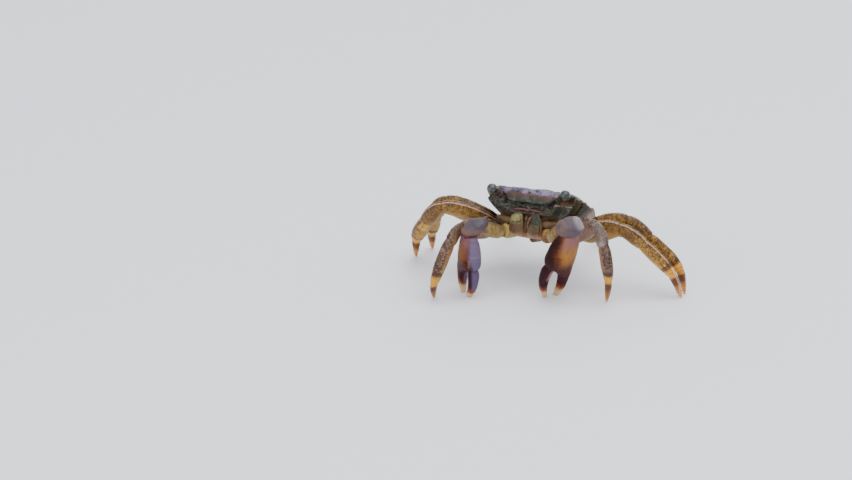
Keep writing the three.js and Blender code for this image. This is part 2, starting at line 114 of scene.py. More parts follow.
EYE_STALK = ((10.5, -12.0, -2.9), (12.5, -13.6, -1.3), 1.2)  # foot, end, radius
EYE = ((13.9, -14.5, -0.3), 2.1)  # centre, radius
EYE_DROP = {"left": 0, "right": 0.9}
PLATE_HALF_THICKNESS = 0.6
FEELER_PATH = [(7.2, -14.0, -6.3), (8.8, -15.4, -6.6), (10.6, -16.7, -6.0), (12.0, -17.6, -4.8)]
FEELER_RADII = (0.75, 0.5, 0.36, 0.28)
LEGS = {  # joints from the hip to the tip on the ground
    "left_leg_1": [(12.2, -9.7, 21.2), (26.5, -16.5, 28.3), (30.6, -20.2, 23.2),
                   (32.0, -18.4, 9.5), (30.7, -15.6, 0)],
    "left_leg_2": [(13.2, -5.4, 20.2), (33.6, -9.6, 26.0), (42.0, -9.1, 21.3),
                   (52.0, -5.7, 9.7), (55.0, -2.9, 0)],
    "left_leg_3": [(13.4, -1.0, 19.0), (34.2, -3.9, 26.9), (42.2, -2.9, 21.2),
                   (53.6, -1.3, 9.8), (55.0, 1.4, 0)],
    "left_leg_4": [(11.6, 4.2, 17.4), (12.4, 19.8, 18.2), (10.4, 26.2, 15.2),
                   (10.5, 33.0, 7.2), (11.5, 36.3, 0)],
    "right_leg_1": [(-12.3, -9.7, 21.2), (-21.9, -24.0, 24.2), (-23.3, -32.4, 22.0),
                    (-27.2, -38.4, 7.7), (-29.3, -33.0, 0)],
    "right_leg_2": [(-13.2, -5.4, 20.4), (-33.0, -12.7, 27.0), (-40.4, -10.3, 19.6),
                    (-47.2, -2.3, 8.7), (-49.3, 2.5, 0)],
    "right_leg_3": [(-13.4, -1.0, 19.2), (-34.2, -5.0, 26.0), (-40.2, -1.2, 19.3),
                    (-44.8, 7.4, 8.2), (-46.3, 12.2, 0)],
    "right_leg_4": [(-11.6, 4.2, 17.8), (-17.0, 18.7, 20.0), (-20.0, 25.2, 15.8),
                    (-22.5, 31.5, 7.6), (-23.5, 34.5, 0)],
}
LEG_SCALE = {"1": 0.9, "2": 1, "3": 1, "4": 0.8}
LEG_PIECES = {  # share of the length, then half-sizes above, below and across
    "merus": [(0, 1.5, 1.5, 1.3), (0.12, 2.1, 3.0, 1.7), (0.34, 3.2, 5.3, 2.1),
              (0.6, 3.5, 5.4, 2.2), (0.84, 3.4, 4.3, 2.15), (1, 3.0, 2.9, 2.05)],
    "carpus": [(0, 2.8, 2.5, 1.9), (0.25, 3.0, 2.7, 2.1), (0.62, 3.05, 2.95, 2.2),
               (0.9, 2.9, 2.75, 2.05), (1, 2.75, 2.55, 1.95)],
    "propodus": [(0, 2.55, 2.35, 1.8), (0.16, 2.8, 2.7, 2.0), (0.5, 2.8, 2.8, 2.0),
                 (0.84, 2.35, 2.25, 1.65), (1, 1.9, 1.75, 1.4)],
    "dactyl": [(0, 1.6, 1.5, 1.2), (0.14, 1.6, 1.5, 1.15), (0.5, 1.25, 1.15, 0.9),
               (0.82, 0.75, 0.7, 0.6), (1, 0.36, 0.36, 0.36)],
}
LEG_NEST = 1.0  # each piece starts this far inside the lip of the one before it
LEG_FIRMNESS = {"merus": 0.28, "carpus": 0.36, "propodus": 0.26, "dactyl": 0.3}
CLAWS = {
    "left": dict(shoulder=(9.5, -16.5, 22.6), wrist=(19.6, -26.5, 31.0), tip=(8.4, -16.0, 0),
                 across=(-0.73, -0.68, 0), out=(0.68, -0.73, 0),
                 wrist_size=(4.9, 4.0, 3.7), wrist_axis=None),
    "right": dict(shoulder=(-9.5, -16.5, 22.2), wrist=(-15.0, -29.6, 27.5),
                  tip=(-18.4, -25.0, 0), across=(0.73, -0.68, 0), out=(-0.68, -0.73, 0),
                  wrist_size=(5.3, 2.8, 2.8), wrist_axis=(0.733, 0.473, 0.493)),
}
WRIST_REACH = 3.7
PALM_FORWARD = 1.6
PALM = [  # share of the hand's length, offset, half-height, half-thickness
    (0.005, 0, 4.0, 2.4), (0.06, 0.1, 4.9, 2.9), (0.2, 0.5, 5.7, 3.4), (0.35, 0.6, 6.0, 3.6),
    (0.43, 0.4, 5.7, 3.4), (0.5, -0.7, 4.6, 3.1), (0.56, -2.0, 3.3, 2.7), (0.64, -3.0, 2.3, 2.2),
    (0.8, -3.3, 1.7, 1.7), (0.94, -2.6, 1.1, 1.3), (1, -2.2, 0.75, 0.9),
]
FINGER = [
    (0.495, 3.9, 2.0, 2.0), (0.54, 4.3, 2.2, 2.2), (0.68, 4.6, 1.9, 1.9),
    (0.82, 4.0, 1.5, 1.6), (0.94, 2.7, 1.1, 1.2), (1, 1.9, 0.75, 0.9),
]
ARM = [(0, 1.9, 2.2, 1.8), (0.2, 2.3, 2.8, 2.2), (0.55, 2.7, 2.7, 2.4), (0.85, 2.8, 1.6, 2.4),
       (1, 2.2, 1.1, 2.0)]


# ---- points and curves --------------------------------------------------------------------
def vec(*p):
    return np.array(p, float)


def unit(v):
    return v / np.linalg.norm(v, axis=-1, keepdims=True)


def pitched(points):
    """Body points to the crab's frame, nose up."""
    points = np.asarray(points, float)
    x, y, z = points[..., 0], points[..., 1], points[..., 2]
    c, s = math.cos(BODY_PITCH), math.sin(BODY_PITCH)
    return np.stack((x, y * c + z * s, BODY_HEIGHT - y * s + z * c), axis=-1)


def eased(knots, values, at):
    """A monotone cubic curve through the knots, for numbers or rows of numbers."""
    knots, values, at = (np.asarray(a, float) for a in (knots, values, at))
    shape = values.shape[1:]
    values = values.reshape(len(knots), -1)
    width = np.diff(knots)[:, None]
    rise = np.diff(values, axis=0) / width
    slope = np.zeros_like(values)
    slope[0], slope[-1] = rise[0], rise[-1]
    near, far = 2 * width[1:] + width[:-1], width[1:] + 2 * width[:-1]
    level = rise[:-1] * rise[1:] <= 0
    before, after = np.where(level, 1, rise[:-1]), np.where(level, 1, rise[1:])
    slope[1:-1] = np.where(level, 0, (near + far) / (near / before + far / after))
    i = np.clip(np.searchsorted(knots, at, "right") - 1, 0, len(knots) - 2)
    t, w = ((at - knots[i]) / width[i, 0])[:, None], width[i]
    out = (values[i] * (1 + 2 * t) * (1 - t) ** 2 + values[i + 1] * t * t * (3 - 2 * t)
           + slope[i] * w * t * (1 - t) ** 2 - slope[i + 1] * w * t * t * (1 - t))
    return out.reshape((len(at),) + shape)


def step(value, low, high):
    """0 up to low and 1 from high on, with a soft step between them."""
    t = np.clip((value - low) / (high - low), 0, 1)
    return t * t * (3 - 2 * t)


WAVES = np.random.default_rng(7).normal(size=(16, 3))
PHASES = np.random.default_rng(8).uniform(0, 6.28, 16)


def ripple(points, scale, seed=0.0):
    """Smooth irregular waves from -1 to 1; scale is their length in mm."""
    total = np.zeros(points.shape[:-1])
    for wave, phase in zip(WAVES, PHASES):
        total += np.sin(points @ wave * (3.0 / scale) + phase * (1 + seed))
    return total / 5.0


def bump(distance, width):
    """A soft bell: 1 where the distance is 0, and near 0 beyond twice the width."""
    return np.exp(-(distance / width) ** 2)


def mirrored(points, sign):
    """Points of the left half, or of the right half for a sign of -1."""
    return np.asarray(points, float) * vec(sign, 1, 1)


def ring_grid(centres, ups, sides, above, below, half, count, square=1.0):
    """One ring of count points per centre. The directions and half-sizes are given once for
    all rings or once for each; a square under 1 makes the ring boxy."""
    ups, sides = (np.broadcast_to(v, centres.shape)[:, None] for v in (ups, sides))
    above, below, half = (np.broadcast_to(v, len(centres))[:, None] for v in (above, below, half))
    turn = np.linspace(0, 2 * math.pi, count, endpoint=False)
    rise = np.sign(np.sin(turn)) * np.abs(np.sin(turn)) ** square
    reach = np.sign(np.cos(turn)) * np.abs(np.cos(turn)) ** square
    up = np.where(rise > 0, above * rise, below * rise)
    across = half * reach
    grid = centres[:, None] + up[..., None] * ups + across[..., None] * sides
    marks = dict(height=np.broadcast_to(rise, up.shape), facing=np.broadcast_to(reach, up.shape))
    return grid, marks


def outward(grid, middle):
    """Unit normals of the grid that point away from the middle."""
    around = np.roll(grid, -1, 1) - np.roll(grid, 1, 1)
    normals = unit(np.cross(around, np.gradient(grid, axis=0)) + 1e-9)
    return -normals if ((grid - middle) * normals).sum() < 0 else normals


def pushed(grid, height):
    """The grid moved along its outward normals."""
    return grid + outward(grid, grid.mean(axis=1, keepdims=True)) * height[..., None]


def held_inside(values, low, high, margin=0.45):
    """Values pressed smoothly back between two limits."""
    for sign, limit in ((1, high), (-1, -low)):
        beyond = np.maximum(sign * values - (limit - margin), 0)
        values = values - sign * (beyond - margin * (1 - np.exp(-beyond / margin)))
    return values


def rounded_ends(at, length, first, last, thickness):
    """Shrinks the ring sizes towards the ends of a piece, so its edges are round."""
    scale = np.ones_like(at)
    for distance, radius in ((at * length, first), ((1 - at) * length, last)):
        if radius:
            x = np.clip(1 - distance / radius, 0, 1)
            scale *= 1 - radius / thickness * (1 - np.sqrt(1 - x * x))
    return scale


# ---- pieces -------------------------------------------------------------------------------
class Shape:
    """Points, faces and marks of one piece, gathered from several skins."""

    def __init__(self):
        self.points, self.faces, self.marks, self.total = [], [], [], 0
        self.roots = []  # places of the bristles' roots on the map of their limb

    def loft(self, grid, **marks):
        """A closed skin through rings of points; the ends are closed at their middles."""
        rows, count = grid.shape[:2]
        poles = np.stack((grid[0].mean(0), grid[-1].mean(0)))
        points = np.concatenate((grid.reshape(-1, 3), poles))
        index = np.arange(rows * count).reshape(rows, count)
        ahead = np.roll(index, -1, 1)
        quads = np.stack((index[:-1], ahead[:-1], ahead[1:], index[1:]), -1).reshape(-1, 4)
        tris = np.concatenate((
            np.stack((np.full(count, rows * count), ahead[0], index[0]), -1),
            np.stack((np.full(count, rows * count + 1), index[-1], ahead[-1]), -1)))
        a, b, c, d = (points[quads[:, k]] for k in range(4))
        middle = points.mean(0)
        volume = (np.cross(b - a, c - a) * (a - middle)).sum()
        volume += (np.cross(c - a, d - a) * (a - middle)).sum()
        if volume < 0:
            quads, tris = quads[:, ::-1], tris[:, ::-1]
        self.faces += [quads + self.total, tris + self.total]
        full = {}
        for name, value in marks.items():
            value = np.asarray(value, float)
            if value.ndim == 0:
                value = np.full((rows, count), float(value))
            if value.ndim >= 2 and value.shape[:2] != (rows, count):
                value = np.broadcast_to(value, (rows, count) + value.shape[2:])
            flat = value.reshape((rows * count,) + value.shape[2:])
            full[name] = np.concatenate((flat, value[0].mean(0)[None], value[-1].mean(0)[None]))
        self.points.append(points)
        self.marks.append(full)
        self.total += len(points)

    def spike(self, base, tip, radius, sides=6, rows=5, end=0.12, **marks):
        """A short cone with a rounded tip."""
        base, tip = np.asarray(base, float), np.asarray(tip, float)
        axis = unit(tip - base)
        side = unit(np.cross(axis, vec(0.31, 0.22, 0.92)))
        t = np.linspace(0, 1, rows)
        size = radius * (1 - t * (1 - end)) * np.sqrt(np.clip(1 - (t - 0.02) ** 8, 0.05, 1))
        centres = base + (tip - base) * t[:, None]
        grid, _ = ring_grid(centres, np.cross(axis, side), side, size, size, size, sides)
        self.loft(grid, **marks)

    def bristle(self, base, tip, radius, u, v):
        """A fine spike; u and v are its root's place on the map of its limb."""
        self.spike(base, tip, radius, 3, 3, 0.25)
        self.roots.append((u, v))

    def map_bristles(self, thing):
        """Gives each bristle a small patch at its root's place on the map."""
        mesh = thing.data
        layer = mesh.uv_layers.new(name="OFBake")
        per = len(mesh.vertices) // len(self.roots)
        corner = np.empty(len(mesh.loops), np.int32)
        mesh.loops.foreach_get("vertex_index", corner)
        roots = np.array(self.roots)[corner // per]
        local = corner % per
        patch = np.stack((np.cos(local * 2.1), local / per), -1) * 0.0015
        layer.data.foreach_set("uv", (0.01 + 0.98 * roots + patch).astype(np.float32).ravel())

    def piece(self, name, paint, slot, *nodes):
        """Makes the object: set on the floor, moved to the row's origin, kept inside the box."""
        points = np.concatenate(self.points)
        points[:, 2] = np.maximum(points[:, 2], 0)
        points = points - FOOTPRINT
        for axis in (0, 1):
            points[:, axis] = held_inside(points[:, axis], cad_box[0][axis] / MM,
                                          cad_box[1][axis] / MM)
        points *= MM
        corners = np.concatenate([f.ravel() for f in self.faces])
        sizes = np.concatenate([np.full(len(f), f.shape[1]) for f in self.faces])
        mesh = bpy.data.meshes.new(name)
        mesh.vertices.add(len(points))
        mesh.vertices.foreach_set("co", points.ravel())
        mesh.loops.add(len(corners))
        mesh.loops.foreach_set("vertex_index", corners)
        mesh.polygons.add(len(sizes))
        mesh.polygons.foreach_set("loop_start", np.concatenate(([0], np.cumsum(sizes)[:-1])))
        mesh.polygons.foreach_set("use_smooth", np.ones(len(sizes), bool))
        mesh.update(calc_edges=True)
        mesh.validate()
        for mark in self.marks[0]:
            data = np.concatenate([m[mark] for m in self.marks])
            kind, field = ("FLOAT", "value") if data.ndim == 1 else ("FLOAT_VECTOR", "vector")
            layer = mesh.attributes.new(mark, kind, "POINT")
            layer.data.foreach_set(field, data.astype(np.float32).ravel())
        mesh.materials.append(paint)
        thing = bpy.data.objects.new(name, mesh)
        bpy.context.collection.objects.link(thing)
        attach(thing, "root")
        if nodes:
            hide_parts(*nodes)
        return thing


# ---- shader kit ---------------------------------------------------------------------------
def tint(code):
    """A display colour such as 8a6a34 as the linear colour that shaders take."""
    parts = [int(code[i:i + 2], 16) / 255 for i in (0, 2, 4)]
    return tuple(p / 12.92 if p < 0.04045 else ((p + 0.055) / 1.055) ** 2.4
                 for p in parts) + (1,)


class Wire:
    """A shader value. Arithmetic on it adds Math nodes."""

    def __init__(self, paint, socket):
        self.paint, self.socket = paint, socket

    def math(self, operation, *terms):
        return self.paint.node("ShaderNodeMath", {"operation": operation},
                               dict(enumerate(terms)))

    def __add__(self, other):
        return self.math("ADD", self, other)

    def __radd__(self, other):
        return self.math("ADD", other, self)

    def __sub__(self, other):
        return self.math("SUBTRACT", self, other)

    def __rsub__(self, other):
        return self.math("SUBTRACT", other, self)

    def __mul__(self, other):
        return self.math("MULTIPLY", self, other)

    def __rmul__(self, other):
        return self.math("MULTIPLY", other, self)

    def __abs__(self):
        return self.math("ABSOLUTE", self)

    def over(self, start, end):
        """0 at start and 1 at end, with a soft step between them."""
        return self.paint.node("ShaderNodeMapRange", {"interpolation_type": "SMOOTHSTEP"},
                               {"Value": self, "From Min": start, "From Max": end})

    def near(self, middle, reach, soft):
        """1 within reach of the middle, fading to 0."""
        return abs(self - middle).over(reach + soft, reach)


class Paint:
    """A material in the making. Constants go on the shader, patterns through node()."""

    def __init__(self, name, **constants):
        self.material = bpy.data.materials.new(name)
        self.material.use_nodes = True
        self.tree = self.material.node_tree
        self.shader = self.tree.nodes["Principled BSDF"]
        for key, value in {"Specular_IOR_Level": 0.3, **constants}.items():
            self.shader.inputs[key.replace("_", " ")].default_value = value

    def node(self, kind, settings=None, inputs=None, output=0):
        node = self.tree.nodes.new(kind)
        for key, value in (settings or {}).items():
            setattr(node, key, value)
        for key, value in (inputs or {}).items():
            if isinstance(value, Wire):
                self.tree.links.new(value.socket, node.inputs[key])
            else:
                node.inputs[key].default_value = value
        return Wire(self, node.outputs[output])

    def mark(self, name, output="Fac"):
        return self.node("ShaderNodeAttribute", {"attribute_name": name}, output=output)

    def axes(self, vector):
        split = self.node("ShaderNodeSeparateXYZ", {}, {0: vector})
        outputs = split.socket.node.outputs
        return [Wire(self, outputs[k]) for k in range(3)]

    def stretched(self, vector, x, y, z):
        return self.node("ShaderNodeVectorMath", {"operation": "MULTIPLY"},
                         {0: vector, 1: (x, y, z)})

    def noise(self, vector, scale, detail=3.0, roughness=0.55, warp=0.0):
        return self.node("ShaderNodeTexNoise", {},
                         {"Vector": vector, "Scale": scale, "Detail": detail,
                          "Roughness": roughness, "Distortion": warp})

    def cells(self, vector, scale, feature="F1", jitter=1.0):
        return self.node("ShaderNodeTexVoronoi", {"feature": feature},
                         {"Vector": vector, "Scale": scale, "Randomness": jitter})

    def blend(self, share, under, over):
        under, over = (tint(c) if isinstance(c, str) else c for c in (under, over))
        return self.node("ShaderNodeMix", {"data_type": "RGBA"}, {0: share, 6: under, 7: over},
                         output=2)

    def layers(self, ground, *coats):
        """Colours laid over the ground one after the other, each with its share."""
        for share, colour in coats:
            ground = self.blend(share, ground, colour)
        return ground

    def done(self, colour, roughness, height=None, depth=0.1):
        """Connects the finished patterns; depth is the relief in mm."""
        inputs = self.shader.inputs
        self.tree.links.new(colour.socket, inputs["Base Color"])
        if isinstance(roughness, Wire):
            self.tree.links.new(roughness.socket, inputs["Roughness"])
        else:
            inputs["Roughness"].default_value = roughness
        if height is not None:
            relief = self.node("ShaderNodeBump", {},
                               {"Height": height, "Distance": depth * MM, "Strength": 1.0})
            self.tree.links.new(relief.socket, inputs["Normal"])
        return self.material

    def spot(self):
        """The place on the crab, in mm."""
        place = self.node("ShaderNodeTexCoord", {}, output="Object")
        return self.stretched(place, 1 / MM, 1 / MM, 1 / MM)


# ---- finishes -----------------------------------------------------------------------------
def shell_paint():
    """Marbled violet-brown back with cross lines, painted highlight on their crests and painted
    shade between them, a painted lilac sky reflection at the front, green-black face, brown striped
    flanks.
    """
    p = Paint("marbled shell", IOR=1.5)
    body = p.mark("body", "Vector")
    x, y, z = p.axes(body)
    drop, orbit, side, ridge, tooth, rear = (
        p.mark(m) for m in ("drop", "orbit", "side", "ridge", "tooth", "rear"))
    broad = p.noise(body, 0.16, 2.0)
    cloud = p.noise(body, 0.42, 3.0, 0.6, 0.6)
    fine = p.noise(body, 1.5, 3.0, 0.6)
    veins = abs(p.noise(body, 0.36, 4.0, 0.6, 1.4) - 0.5).over(0.055, 0.012)
    flecks = p.cells(p.stretched(body, 0.8, 1.6, 1.0), 0.9).over(0.34, 0.16)
    bars = p.noise(p.stretched(body, 1.0, 0.5, 0.5), 0.34, 2.0, 0.5, 0.8)
    back = p.layers(
        tint("473b47"),
        (broad.over(0.42, 0.62) * 0.8, "37332f"), (cloud.over(0.52, 0.64) * 0.85, "231b22"),
        # Painted highlight: the crests of the cross lines (ridge) are painted lighter lilac.
        # Painted shade: where the lines are low, between them, the back is painted darker.
        (veins * cloud.over(0.62, 0.42) * 0.7, "8a7858"), (ridge.over(0.35, 0.9) * 0.45, "75697f"),
        (ridge.over(0.12, 0.0) * 0.3, "1d171c"), (flecks * fine.over(0.45, 0.6) * 0.45, "948a70"),
        # Painted reflection: a pale lilac sky reflection is painted in cloudy patches on the front
        # of the back.
        (y.over(-8.2, -10.6) * cloud.over(0.66, 0.4) * 0.7, "82799c"),
        (y.over(-9.4, -10.4) * bars.over(0.52, 0.6) * 0.65, "332b36"))
    patches = p.noise(p.stretched(body, 0.8, 1, 1.2), 0.55, 3.0, 0.6, 0.5)
    level = z + (cloud - 0.5) * 1.0
    face = p.layers(
        tint("2b2f28"),
        (patches.over(0.5, 0.6) * 0.85, "56594a"),
        (broad.over(0.5, 0.66) * patches.over(0.5, 0.4), "52402f"),
        (fine.over(0.52, 0.66) * 0.55, "171b15"), (flecks * fine.over(0.42, 0.58) * 0.45, "6f7260"),
        (level.over(-4.6, -3.2) * 0.55, "33241c"),
        (level.over(-3.6, -2.6) * patches.over(0.62, 0.5) * 0.8, "3f3022"),
        (level.over(-8.0, -9.4) * 0.7, "5c4029"), (level.over(-9.4, -10.6) * 0.6, "80572f"))
    stripes = p.noise(p.stretched(body, 0.25, 0.35, 1.5), 1.3, 2.0, 0.5, 0.8)
    flank = p.layers(
        tint("5e5139"),
        (stripes.over(0.47, 0.55) * 0.85, "28231a"), (broad.over(0.46, 0.58) * 0.6, "454830"),
        (drop.over(3.4, 5.2) * stripes.over(0.56, 0.46) * 0.5, "86683e"),
        (fine.over(0.56, 0.7) * 0.5, "9b8a60"))
    shelf = abs(x).near(11.6, 1.5, 0.6)
    socket = p.layers(
        face, (drop.near(1.1, 0.3, 0.25) * orbit * shelf * cloud.over(0.36, 0.5) * 0.85, "6e2e1e"),
        (drop.near(1.85, 0.06, 0.08) * orbit * fine.over(0.38, 0.52) * x.over(-2.0, 4.0) * 0.85,
         "a58d62"))
    below = drop.over(0.02, 0.1)
    wall = p.layers(socket, (side.over(0.3, 0.75), flank), (rear.over(0.3, 0.8), "54453a"))
    brow = (1 - below) * y.over(-9.8, -11.2) * abs(x).over(12.5, 10.5)
    colour = p.layers(
        back, (below, wall), (brow * z.over(-1.5, -2.1), face),
        (brow * z.near(-1.65, 0.14, 0.22) * fine.over(0.3, 0.5) * 0.85, "5c2a22"),
        (tooth * 0.6, "94805a"))
    gloss = 0.34 + fine * 0.22 + below * 0.14
    relief = fine * 0.5 + p.noise(body, 5.0, 2.0) * 0.35
    return p.done(colour, gloss, relief, 0.14)


def underside_paint():
    """Cream and olive breastplate with orange and pink at the front and the joints."""
    p = Paint("breastplate", IOR=1.48)
    body = p.mark("body", "Vector")
    x, y, z = p.axes(body)
    cloud = p.noise(body, 0.3, 3.0, 0.55, 0.4)
    fine = p.noise(body, 1.4, 3.0, 0.6)
    groove, tip = p.mark("groove"), p.mark("tip")
    colour = p.layers(
        tint("a28952"),
        (cloud.over(0.45, 0.62), "7a6c40"),
        (y.over(10.0, 14.5) * cloud.over(0.62, 0.42) * 0.8, "5c4f38"),
        (y.over(-3.0, -9.5) * cloud.over(0.3, 0.55), "a06a30"),
        (z.over(-15.6, -17.2) * y.over(-2.0, -7.0) * 0.6, "b08a76"),
        (fine.over(0.55, 0.7) * 0.45, "6b5230"), (tip * 0.6, "7f6230"),
        (y.over(-7.0, -10.5) * cloud.over(0.5, 0.62) * 0.7, "6f4520"),
        (y.over(-7.0, -10.0) * x.over(-2.5, -6.0) * cloud.over(0.68, 0.44) * 0.8, "b3a25c"),
        (groove * 0.5, "55402c"))
    return p.done(colour, 0.4 + fine * 0.15, fine, 0.1)


def mouth_paint():
    """Mouth plates: green-black with cream and orange patches."""
    p = Paint("mouth plate", IOR=1.48)
    body = p.mark("body", "Vector")
    x, _, z = p.axes(body)
    cloud = p.noise(body, 0.45, 3.0, 0.6, 0.4)
    fine = p.noise(body, 1.6, 3.0, 0.6)
    patches = p.noise(body, 0.8, 2.0, 0.5, 0.3)
    level = z + (cloud - 0.5) * 3.0
    upper = level.over(-13.2, -11.4)
    colour = p.layers(
        tint("5f4426"), (cloud.over(0.45, 0.58) * 0.7, "453a24"),
        (upper * x.over(0.5, -1.5) * cloud.over(0.72, 0.5) * 0.9, "837d4e"),
        (upper * x.over(-0.5, 1.5) * 0.9, "252c22"),
        (patches.over(0.52, 0.6) * x.over(-1.0, 1.0) * 0.7, "4a5038"),
        (level.over(-9.6, -8.8) * 0.8, "2c2c22"),
        (level.over(-15.0, -16.2) * 0.6, "8d6a4c"), (fine.over(0.54, 0.68) * 0.6, "241d13"),
        (p.mark("tip") * 0.75, "6b4526"), (p.mark("groove") * 0.6, "1f1a14"))
    return p.done(colour, 0.32 + fine * 0.2, fine, 0.08)


def leg_paint(name, tip=False):
    """Olive and ochre with brown netting, a painted highlight along the crest, golden patches that
    are partly painted highlight, and a yellow band at the end.
    """
    p = Paint(name, IOR=1.5)
    lay = p.mark("lay", "Vector")
    share, height, facing = p.mark("share"), p.mark("height"), p.mark("facing")
    part, mauve, line = p.mark("part"), p.mark("mauve"), p.mark("line")
    # Pieces are numbered from 0 at the hip; the knuckle is piece 1 of the greyest leg.
    knuckle = mauve.over(0.82, 0.88) * part.over(0.6, 0.9) * part.over(1.4, 1.1)
    broad = p.noise(lay, 0.17, 2.0)
    cloud = p.noise(lay, 0.55, 4.0, 0.62, 0.5)
    net = p.cells(p.stretched(lay, 1.0, 0.6, 0.6), 1.4, "DISTANCE_TO_EDGE")
    dashes = p.noise(p.stretched(lay, 2.2, 0.5, 0.5), 1.1, 3.0, 0.55, 0.6)
    fine = p.noise(lay, 2.2, 3.0, 0.6)
    root = part.over(1.6, 1.4)
    upper = height.over(-0.3, 0.4) * (1 - facing.over(0.2, 0.5) * root * 0.4)
    ochre = p.layers(
        tint("bd8630"), (broad.over(0.46, 0.62) * 0.7, "94702c"),
        # Golden patches along the middle of the leg's side, partly the leg's own colour and partly
        # a painted highlight.
        (broad.over(0.48, 0.38) * height.near(0.1, 0.5, 0.3), "dfa840"),
        (root * (1 - mauve) * 0.7, "7c5d2c"),
        (height.over(-0.15, -0.85) * 0.7, "a3863f"),
        (mauve * 0.85, "7a574a"), (mauve * height.over(-0.2, 0.5) * 0.7, "5c4d54"),
        (mauve * part.over(0.6, 0.4) * 0.6, "a08478"), (knuckle * 0.75, "9c8f8c"))
    dark = p.layers(tint("41260f"), (mauve, "33221f"), (knuckle * 0.7, "70645f"))
    netting = net.over(0.2, 0.05) * cloud.over(0.34, 0.5)
    colour = p.layers(
        ochre,
        (dashes.over(0.5, 0.58) * (0.1 + 0.66 * upper), dark),
        (netting * (0.14 + 0.66 * upper), dark),
        (cloud.over(0.54, 0.63) * (0.05 + 0.7 * upper), dark),
        (height.over(0.55, 0.95) * cloud.over(0.4, 0.52) * 0.6, "3a2316"),
        (part.near(1.0, 0.2, 0.1) * share.near(0.45, 0.15, 0.25) * height.near(0.1, 0.45, 0.35)
         * 0.55, "4f3015"),
        (fine.over(0.58, 0.7) * 0.55, "dcb45e"))
    # pale: a painted highlight along the crest of the leg, widest on the second legs; it is also
    # laid on the end band and the tip.
    pale = line.over(1.0, 0.5) * fine.over(0.3, 0.48)
    dots = line.over(2.2, 1.3) * line.over(0.7, 1.1) * dashes.over(0.46, 0.56)
    colour = p.layers(colour, (dots * 0.7, "35241c"), (pale * 0.8, "bd9580"))
    if tip:
        bars = share + (cloud - 0.5) * 0.2
        colour = p.layers(
            tint("d6952c"), (bars.over(0.04, 0.14) * 0.92, "4d2115"),
            (bars.over(0.34, 0.52), "b8702a"), (bars.over(0.5, 0.66), "cf8a2a"),
            (bars.over(0.88, 0.97), "dcb983"), (bars.over(0.975, 1.0), "4a3325"),
            (mauve * bars.over(0.1, 0.2) * bars.over(0.9, 0.7) * 0.6, "5f2c1e"),
            (dashes.over(0.5, 0.6) * 0.35, "5a2f14"), (pale * 0.6, "dba98a"))
    else:
        end = share * (part.near(2.0, 0.2, 0.1)) + (cloud - 0.5) * 0.14
        colour = p.layers(colour, (end.near(0.77, 0.03, 0.06) * 0.75, "3f2212"),
                          (end.over(0.8, 0.88) * (0.92 - 0.5 * dashes.over(0.5, 0.62)), "dd9a26"),
                          (pale * end.over(0.8, 0.9) * 0.8, "e0c4a8"))
    return p.done(colour, 0.34 + fine * 0.24, dashes * 0.5 + fine * 0.5, 0.16)


CLAW_SHEEN = dict(IOR=1.2, Coat_Weight=0.03, Coat_Roughness=0.3, Specular_IOR_Level=0.2)


def claw_paint():
    """Smooth palm: violet-pink above, ochre outside, dark towards the moving finger; the right palm
    is painted darker all over as painted shade.
    """
    p = Paint("polished claw", **CLAW_SHEEN)
    lay = p.mark("lay", "Vector")
    share, height, lilac = p.mark("share"), p.mark("height"), p.mark("lilac")
    cloud = p.noise(lay, 0.22, 2.0, 0.5, 0.4)
    streak = p.noise(p.stretched(lay, 0.35, 1.2, 1.2), 0.7, 3.0, 0.6)
    fine = p.noise(lay, 1.6, 3.0, 0.6)
    inner = height + (cloud - 0.5) * 0.6 + (share - 0.25) * 0.9
    along = share + (streak - 0.5) * 0.1
    colour = p.layers(
        # Painted shade: the right palm is darkened all over.
        tint("9c6a34"), (p.mark("dim") * 0.8, "6f3f20"),
        (streak.over(0.48, 0.64) * 0.4, "744626"),
        (inner.over(0.05, 0.6) * 0.9, "5f2f1a"), (inner.over(0.4, 0.85), "2a1410"),
        (height.over(-0.7, -0.98) * along.over(0.4, 0.25) * 0.5, "6a5566"),
        (along.over(0.2, 0.0) * height.over(0.9, 0.2) * 0.85, "81585e"),
        (along.over(0.34, 0.52) * 0.9, "4a1c0e"), (along.over(0.52, 0.66) * 0.5, "34120c"),
        (along.over(0.74, 0.82), "8a4a22"),
        (lilac * along.over(0.9, 0.72) * 0.9, "6a5c72"),
        (lilac.near(0.4, 0.3, 0.3) * along.over(0.26, 0.46) * along.over(0.9, 0.75), "3a1820"),
        (lilac * share.over(0.2, 0.32) * along.over(0.9, 0.75) * 0.5, "575068"),
        (lilac * share.near(0.2, 0.003, 0.012) * 0.14, "a59cae"),
        (p.mark("streak") * 0.6, "965f4c"))
    colour = p.layers(colour, (along.over(0.83, 0.92), "d6b48a"),
                      (fine.over(0.58, 0.75) * 0.18, "b09078"))
    return p.done(colour, 0.3 + fine * 0.2, fine, 0.05)


def finger_paint():
    """Moving finger: maroon-black, then orange-brown, with a cream spoon tip."""
    p = Paint("claw finger", **CLAW_SHEEN)
    lay = p.mark("lay", "Vector")
    share, lilac, height = p.mark("share"), p.mark("lilac"), p.mark("height")
    streak = p.noise(p.stretched(lay, 0.35, 1.2, 1.2), 0.7, 3.0, 0.6)
    fine = p.noise(lay, 1.6, 3.0, 0.6)
    along = share + (streak - 0.5) * 0.1
    hinge = along.near(0.58, 0.05, 0.05) * height.over(0.3, -0.4)
    colour = p.layers(
        tint("2c171b"), (streak.over(0.5, 0.62) * 0.5, "44222a"), (lilac * 0.9, "5d5068"),
        (hinge * 0.8, "a87878"), (along.over(0.74, 0.83), "7d3f22"),
        (along.over(0.83, 0.92), "d6b48a"))
    return p.done(colour, 0.3 + fine * 0.2, fine, 0.05)


